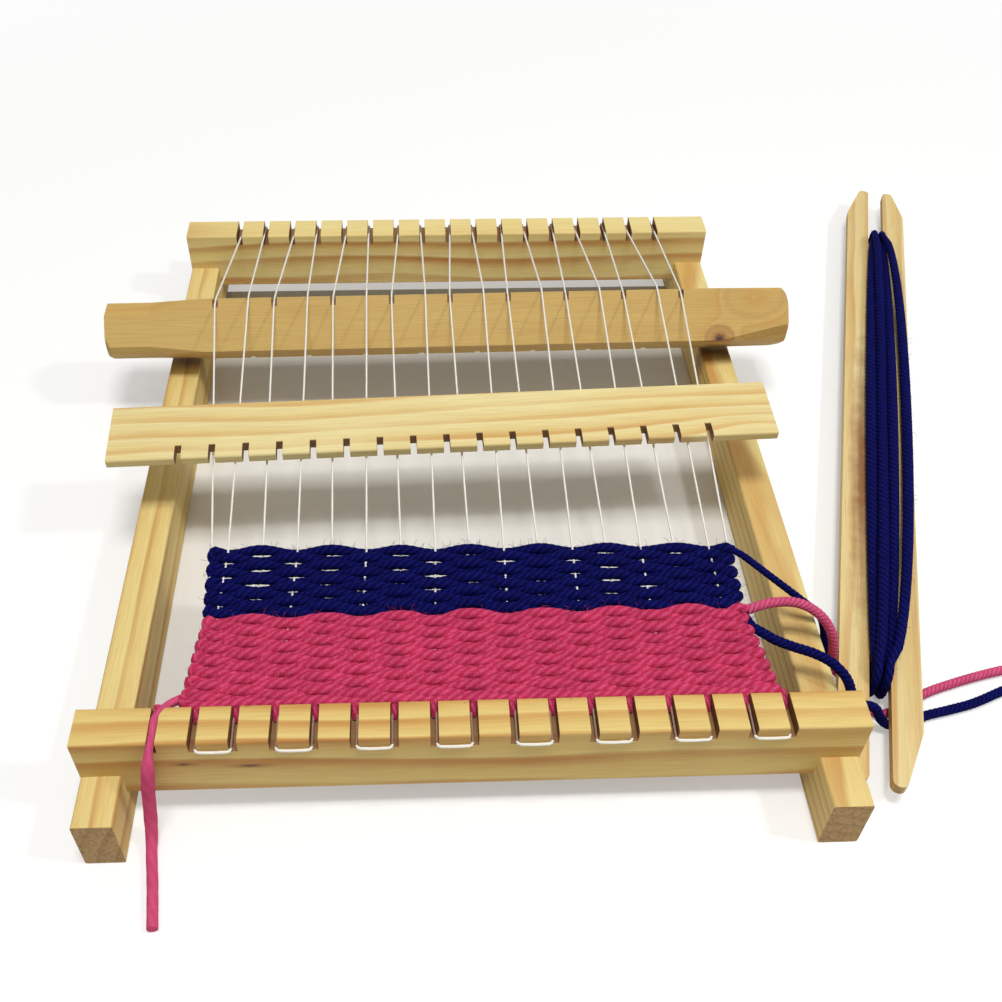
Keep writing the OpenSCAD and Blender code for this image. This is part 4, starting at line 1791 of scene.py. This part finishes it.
@dataclass
class LooseYarn:
    """A free end of yarn, from the cloth to where it ends.

    Girth gives its radius at lengths along it. Tied says that it ends on the shuttle, and then
    the stretch between the two places gives way as the shuttle moves.
    """

    name: str
    node: str
    slot: str
    yarn: SpunYarn
    route: tuple[tuple[float, float, float], ...]
    far_end: str = "bare"
    lay: str = "loose"
    diameter: float = 3.6
    twist: float = -0.0075
    ply_depth: float = 0.11
    girth: tuple[tuple[float, float], ...] = ((0.0, 1.8),)
    tied: bool = False
    gives_from: tuple[float, float, float] = (126, 56, 26)
    gives_to: tuple[float, float, float] = (138, 61, 5)

    def build(self, tree: StrandTree, finish) -> None:
        """Args:
            tree: The strand tree.
            finish: The yarn's material.
        """
        points = smooth_route([LAYOUT.point(*p) for p in self.route], 6)
        line = []
        run = 0.0
        for k, place in enumerate(points):
            run += (place - points[k - 1]).length if k else 0.0
            line.append((place, lookup(run / MM, self.girth) * MM))
        spun = {"Twist length": self.twist, "Ply depth": self.ply_depth}
        piece = tree.lay(self.name, [line], finish, {**YARN, **spun})
        if self.tied:
            held, free = LAYOUT.point(*self.gives_from), LAYOUT.point(*self.gives_to)
            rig.blend(piece, "frame", "stick_shuttle", held, free)
        else:
            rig.ride(piece, "frame")
        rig.slot(piece, self.slot)
        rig.replaces(piece, self.node)
        length = route_length(points)
        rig.cord(
            piece,
            exit=points[0],
            length=length,
            diameter=self.diameter * MM,
            far_end=self.far_end,
            stiffness="limp",
            lay=self.lay,
            path=points,
        )
        LOG.info("%s: %.1f mm", self.name, length / MM)


# Each yarn: crown colour, painted shade in the grooves, fuzz tint that also partly paints the crowns' highlight, and
# sheen weight.
PINK = SpunYarn("pink_acrylic_yarn", "#c5365d", "#b32b4e", "#d0527a", 0.2)
OPEN_PINK = SpunYarn("pink_acrylic_yarn_untwisted", "#cf5079", "#cd4c75", "#d3587f", 0.4)
LOOSE_PINK = SpunYarn("pink_acrylic_yarn_loose", "#cc4c74", "#c2446a", "#da6a90", 0.3)
NAVY = SpunYarn("navy_acrylic_yarn", "#06074a", "#02032a", "#10156a", 0.02)

# The loose yarns' ways from the cloth to their ends, in the loom's measures.
PINK_FRONT = (
    (-93, 18.5, 38), (-97, 15, 38.9), (-99.8, 10.5, 39.3), (-100, 4, 39.2), (-100.2, -2.4, 38.6),
    (-100.4, -5.6, 36), (-101.3, -6.2, 30.5), (-102.4, -6.5, 23.5), (-103.2, -7.2, 16.5),
    (-103.9, -8.6, 9.5), (-104.2, -11.4, 4.2), (-103.9, -16.5, 1.9), (-102.5, -24.5, 1.9),
    (-101.2, -33, 1.9), (-100, -41.5, 1.9),
)
PINK_SIDE = (
    (94.6, 47.2, 40.8), (98.4, 48.2, 41.4), (103, 49.4, 41.5), (109, 50.6, 40.6), (114.5, 51, 38.8),
    (119.5, 50.4, 36), (124, 49, 32), (127.4, 47.6, 26.5), (129.6, 47, 19.5), (131, 47.6, 12.5),
    (131.6, 49, 6.6), (132.8, 50, 3.4), (135, 49.4, 2), (137.4, 46, 1.9), (138.8, 41, 1.9),
    (140, 36, 1.9), (142.4, 31.8, 1.9), (146.4, 29.8, 1.9), (151.5, 31, 1.9), (158, 34.6, 1.9),
    (166, 38.6, 1.9), (177, 42.4, 1.9), (189, 45.8, 1.9), (201, 48.6, 1.9),
)
NAVY_WORKING = (
    (94.8, 73.2, 42.4), (97.6, 70.8, 42.4), (101, 67.6, 41.6), (107, 63, 39.2), (113, 59.6, 36),
    (119, 57.4, 31.8), (125.2, 56.1, 26.4), (128.8, 55.6, 18.5), (130.4, 55.2, 11.5),
    (131.6, 55, 6.8), (133.2, 54.8, 4.2), (135.6, 55.4, 3.4), (137.8, 57.4, 4.1),
    (139.2, 60.2, 4.8), (140, 63, 5.2),
)
NAVY_START = (
    (95.4, 40.6, 39.4), (98.2, 38.8, 39.1), (102, 36.6, 38), (109, 34.8, 35.8), (116, 33.2, 34),
    (122, 30.6, 31.8), (126.4, 26.8, 28.6), (129, 24.8, 23), (130.4, 24.5, 18), (132.4, 25.2, 14.9),
    (135.4, 25.6, 13.9), (138.2, 25.4, 13.8), (140.6, 25, 12.2), (142.2, 24.6, 9.3),
    (143.9, 24.5, 6.3), (146.4, 24.2, 4.1), (150, 24.4, 2.6), (155, 25.8, 1.9), (162, 28.6, 1.9),
    (172, 31, 1.9), (181, 33.4, 1.9), (191, 37.4, 1.9), (201, 41.6, 1.9),
)

LOOSE_ENDS = (
    LooseYarn(
        "pink_yarn_front_end", "pink_front_tail", "pink_yarn", OPEN_PINK, PINK_FRONT,
        lay="hanging",
        twist=-0.03,
        ply_depth=0.04,
        girth=(
            (0, 1.3), (8, 1.3), (22.5, 1.25), (28, 2.1), (34, 2.25), (46, 2.15), (54, 2.2),
            (60, 2.05), (66, 1.85), (200, 1.75),
        ),
    ),
    LooseYarn("pink_yarn_side_end", "pink_side_tail", "pink_yarn", LOOSE_PINK, PINK_SIDE),
    LooseYarn(
        "navy_yarn_to_shuttle", "navy_working_yarn", "navy_yarn", NAVY, NAVY_WORKING,
        far_end="object",
        girth=((0, 1.3), (30, 1.4), (60, 1.8)),
        tied=True,
    ),
    LooseYarn("navy_yarn_first_end", "navy_start_tail", "navy_yarn", NAVY, NAVY_START),
)
PINK_STRIPE = Stripe(
    "pink_stripe", "pink_yarn", "pink_band", 14.6, (49.0, 49.0), 15, True, 0, 2.02, 1.56,
    swing=0.85,
    ply_depth=0.06,
    twist=-0.0135,
    into_slots=3.4,
    fuzz=1.4e5,
    starts_from=PINK_FRONT[0],
    leaves_to=PINK_SIDE[0],
    seed=5,
)
NAVY_STRIPE = Stripe(
    "navy_stripe", "navy_yarn", "navy_band", 49.0, (78.5, 75.5), 10, False, 1, 1.92, 1.6,
    swing=1.0,
    opening=1.12,
    fuzz=2.6e5,
    turn_out=0.9,
    uneven=0.06,
    starts_from=NAVY_START[0],
    leaves_to=NAVY_WORKING[0],
    seed=8,
)


# Frame, bar and comb


def dress(node: str, material) -> None:
    """Gives a CAD node its finish.

    Args:
        node: The node's name.
        material: Its material.
    """
    piece = frame["nodes"][node]
    piece.data.materials.clear()
    piece.data.materials.append(material)
    LOG.info("%s: dressed as %s", node, material.name)


@dataclass
class Frame:
    """The loom's four pine members and the screws under its laps.

    The bar's contact shade is where painted shade darkens the right rail under the heddle bar's lower corner, and the
    left rail at the mirrored place.
    """

    beam_cuts: SawCuts = SawCuts((0.0, 0.0, 40.0), 1.3, above=35.1)
    front_knots: tuple[Knot, ...] = (
        Knot((-91.4, 0.0, 28.3), 2.6, 0.75),
        Knot((-70.7, 0.0, 26.6), 4.2, 0.8),
    )
    bar_contact_shade: tuple[float, float, float] = (118.5, 212.0, 22.5)

    def boards(self) -> dict[str, Pine]:
        """Gives each board its own part of the log.

        Returns:
            The wood of each node.
        """
        x, y, z = self.bar_contact_shade
        # Painted shade: a dark patch on each rail under the heddle bar's corner.
        left, right = (ShadePatch((side * x, y, z), 5.4, 13.0, "#5a2e1a") for side in (-1, 1))
        beam = {"late_strength": 1.0, "band": 0.26, "cuts": self.beam_cuts}
        return {
            "front_beam": Pine(
                "pine_front_beam", Grain.BEAM, (40.0, 228.0, 3.0), 6.2,
                "#dfc67b", "#d4b267", "#bc823c",
                wander_mm=9.0,
                knots=self.front_knots,
                **beam,
            ),
            "back_beam": Pine(
                "pine_back_beam", Grain.BEAM, (90.0, -128.0, 26.0), 9.0,
                "#e8d898", "#dfc67e", "#ba7f3c",
                wander_mm=15.0,
                **beam,
            ),
            "left_rail": Pine(
                "pine_left_rail", Grain.RAIL, (20.0, -70.0, 34.0), 6.2, band=0.16, shade_patch=left
            ),
            "right_rail": Pine(
                "pine_right_rail", Grain.RAIL, (70.0, 62.0, 21.0), 5.4, band=0.16, shade_patch=right
            ),
        }

    def build(self) -> None:
        """Dresses rails, beams and screws."""
        for node, wood in self.boards().items():
            dress(node, wood.material())
        zinc = ZincScrew().material()
        for corner in ("front_left", "front_right", "back_left", "back_right"):
            dress(corner + "_screw", zinc)


@dataclass
class HeddleBar:
    """The square bar on its corner, of browner wood with a knot at its right grip."""

    wood: Pine = Pine(
        "pine_heddle_bar",
        Grain.BAR,
        (30.0, 40.0, -120.0),
        7.5,
        pale="#c9aa64",
        body="#c09a52",
        late_strength=0.4,
        wander_mm=10.0,
        knots=(
            Knot((115.3, 199.5, 39.4), 3.4, 3.2, bulge=9.0, dark="#3c1c12", strength=1.0, rim=0.5),
            Knot((131.0, 212.0, 52.0), 7.0, 4.5, bulge=14.0, strength=0.0, rim=0.16),
        ),
        cuts=SawCuts((-1.4, 213.9, 38.71), 1.15, pitch=25.0, each_way=4, above=51.9),
    )

    def build(self) -> None:
        """Dresses the bar."""
        dress("heddle_bar", self.wood.material())


@dataclass
class Comb:
    """The thin slotted board that beats the rows together."""

    wood: Pine = Pine(
        "pine_comb",
        Grain.COMB,
        (10.0, -60.0, -31.0),
        7.6,
        pale="#e3d59c",
        body="#d9c17f",
        late="#cb9c56",
        late_strength=0.85,
        wander_mm=16.0,
        band=0.2,
        knots=(Knot((114.0, 127.0, 49.0), 8.0, 3.0, bulge=7.0, strength=0.0),),
        cuts=SawCuts((-5.7, 133.8, 45.0), 1.2, before=-7.7),
    )

    def build(self) -> None:
        """Dresses the comb."""
        dress("comb", self.wood.material())


# Studio


@dataclass(frozen=True)
class Lamp:
    """A soft square lamp that points at the loom's middle."""

    name: str
    seat: tuple[float, float, float]
    size: float
    power: float

    def hang(self) -> None:
        """Hangs the lamp in the scene."""
        data = bpy.data.lights.new(self.name, "AREA")
        data.size = self.size
        data.energy = self.power
        lamp = bpy.data.objects.new(self.name, data)
        lamp.location = self.seat
        lamp.rotation_euler = (-Vector(self.seat)).to_track_quat("-Z", "Y").to_euler()
        bpy.context.scene.collection.objects.link(lamp)


@dataclass
class Studio:
    """The camera at the photograph's viewpoint, soft lamps and a pale table.

    The camera's seat and the card inside the frame are in the loom's millimetres, and the
    camera's directions, the lamps and the table's edge and glow in the row frame's metres.
    """

    seat: tuple[float, float, float] = (-14.8185, -195.5361, 339.2193)
    right: tuple[float, float, float] = (0.999289, -0.036424, 0.009744)
    down: tuple[float, float, float] = (-0.019763, -0.726067, -0.68734)
    ahead: tuple[float, float, float] = (0.03211, 0.686659, -0.72627)
    lens: float = 40.9017
    sensor: float = 36.0
    shift: tuple[float, float] = (0.041114, 0.030221)
    lamps: tuple[Lamp, ...] = (
        Lamp("key", (0.0, -0.33, 1.5), 0.33, 12.9),
        Lamp("window", (0.85, -0.35, 1.15), 0.1, 4.6),
    )
    horizon: float = 0.05
    zenith: float = 0.61
    sky: str = "#fbfaf6"
    table_edge: float = 3.0
    table_drop: float = 0.0002
    card: tuple[tuple[float, float], tuple[float, float]] = ((-118.0, 12.5), (118.0, 297.0))
    # The band behind the heddle bar where the card darkens to a painted shadow of the bar, and that shadow's tone.
    behind: tuple[float, float] = (215.0, 250.0)
    card_tone: str = "#e1e0dc"
    bar_shadow_tone: str = "#bdb9b0"
    table_tone: str = "#fdfdfc"
    glow_reach: tuple[float, float] = (0.16, 0.7)
    glow_share: tuple[float, float] = (0.32, 1.0)

    def camera(self) -> None:
        """Sets the camera where the photograph was taken from."""
        data = bpy.data.cameras.new("camera")
        data.sensor_width = self.sensor
        data.lens = self.lens
        data.shift_x, data.shift_y = self.shift
        data.clip_start = 0.01
        camera = bpy.data.objects.new("camera", data)
        columns = (Vector(self.right), -Vector(self.down), -Vector(self.ahead))
        turn = Matrix(columns).transposed().to_4x4()
        camera.matrix_world = Matrix.Translation(LAYOUT.point(*self.seat)) @ turn
        bpy.context.scene.collection.objects.link(camera)
        bpy.context.scene.camera = camera

    def camera_sees(self, tree):
        """Tells what the camera sees, straight or in a gloss, from the light on the object.

        Args:
            tree: The node tree.

        Returns:
            A socket that is 1 for such rays and else 0.
        """
        path = add(tree, "ShaderNodeLightPath").outputs
        return maths(tree, "MAXIMUM", path["Is Camera Ray"], path["Is Glossy Ray"])

    def ceiling(self) -> None:
        """Makes the soft light from above, behind a white backdrop."""
        world = bpy.data.worlds.new("studio")
        bpy.context.scene.world = world
        world.use_nodes = True
        tree = world.node_tree
        tree.nodes.clear()
        up = axes(tree, add(tree, "ShaderNodeTexCoord").outputs["Generated"])[2]
        light = remap(tree, up, end=(self.horizon, self.zenith))
        links = {"Color": colour(self.sky), "Strength": light}
        fill = add(tree, "ShaderNodeBackground", links=links)
        links = {"Color": colour("#ffffff"), "Strength": 1.0}
        backdrop = add(tree, "ShaderNodeBackground", links=links)
        links = {0: self.camera_sees(tree), 1: fill.outputs[0], 2: backdrop.outputs[0]}
        both = add(tree, "ShaderNodeMixShader", links=links)
        add(tree, "ShaderNodeOutputWorld", links={0: both.outputs[0]})

    def build(self) -> None:
        """Lights the loom and lays the table under it."""
        scene = bpy.context.scene
        scene.view_settings.view_transform = "Standard"
        self.ceiling()
        for lamp in self.lamps:
            lamp.hang()
        mesh = bpy.data.meshes.new("table")
        edge = self.table_edge
        corners = [(-edge, -edge, 0), (edge, -edge, 0), (edge, edge, 0), (-edge, edge, 0)]
        mesh.from_pydata(corners, [], [(0, 1, 2, 3)])
        table = bpy.data.objects.new("table", mesh)
        table.location.z = -self.table_drop
        scene.collection.objects.link(table)
        mesh.materials.append(self.table_finish())
        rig.stage(table)

    def table_finish(self):
        """Matt card: white round the loom as the camera sees it, pale grey inside its frame, and darker behind the
        heddle bar as a painted shadow of the bar.

        The white glows for the camera alone, more so further out, and keeps the loom's shadow.

        Returns:
            The material.
        """
        material, tree, shader, out = new_material("matt_card")
        coords = add(tree, "ShaderNodeTexCoord").outputs["Object"]
        x, y, _ = axes(tree, coords)
        low, high = (LAYOUT.point(*corner, 0) for corner in self.card)
        inside = product(tree, between(tree, x, low.x, high.x), between(tree, y, low.y, high.y))
        white = product(tree, self.camera_sees(tree), maths(tree, "SUBTRACT", 1.0, inside))
        # Painted shadow of the heddle bar on the card behind it.
        behind = remap(tree, y, [LAYOUT.point(0, place, 0).y for place in self.behind])
        tones = colour(self.card_tone), colour(self.bar_shadow_tone)
        grey = blend_colour(tree, "MIX", behind, *tones)
        tone = blend_colour(tree, "MIX", white, grey, colour(self.table_tone))
        tree.links.new(tone, shader.inputs["Base Color"])
        shader.inputs["Roughness"].default_value = 0.9
        shader.inputs["Specular IOR Level"].default_value = 0.2
        glow = add(tree, "ShaderNodeEmission", links={"Color": colour("#ffffff"), "Strength": 1.0})
        length = add(tree, "ShaderNodeVectorMath", {"operation": "LENGTH"}, {0: coords})
        far = remap(tree, length.outputs["Value"], self.glow_reach, self.glow_share)
        links = {0: product(tree, white, far), 1: shader.outputs[0], 2: glow.outputs[0]}
        both = add(tree, "ShaderNodeMixShader", links=links)
        tree.links.new(both.outputs[0], out.inputs["Surface"])
        return material


# Main


def main() -> None:
    """Builds the studio and the loose yarn first, and then the rest of the loom."""
    logging.basicConfig(level=logging.INFO, format="%(name)s: %(message)s")
    studio = Studio()
    studio.camera()
    tree = StrandTree()
    tree.build()
    spun = {yarn: yarn.material() for yarn in (PINK, OPEN_PINK, LOOSE_PINK, NAVY)}
    for end in LOOSE_ENDS:
        end.build(tree, spun[end.yarn])
    studio.build()
    for piece in (Frame(), HeddleBar(), Comb()):
        piece.build()
    Shuttle().build(tree, spun[NAVY])
    warp = Warp()
    warp.build(tree, CottonWarp().material())
    PINK_STRIPE.build(warp, tree, spun[PINK])
    NAVY_STRIPE.build(warp, tree, spun[NAVY])
    sizes = [[list(corner) for corner in box] for box in (CAD_BOX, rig.bounds())]
    with open("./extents.json", "w") as out:
        json.dump(sizes, out)


if __name__ == "__main__":
    main()
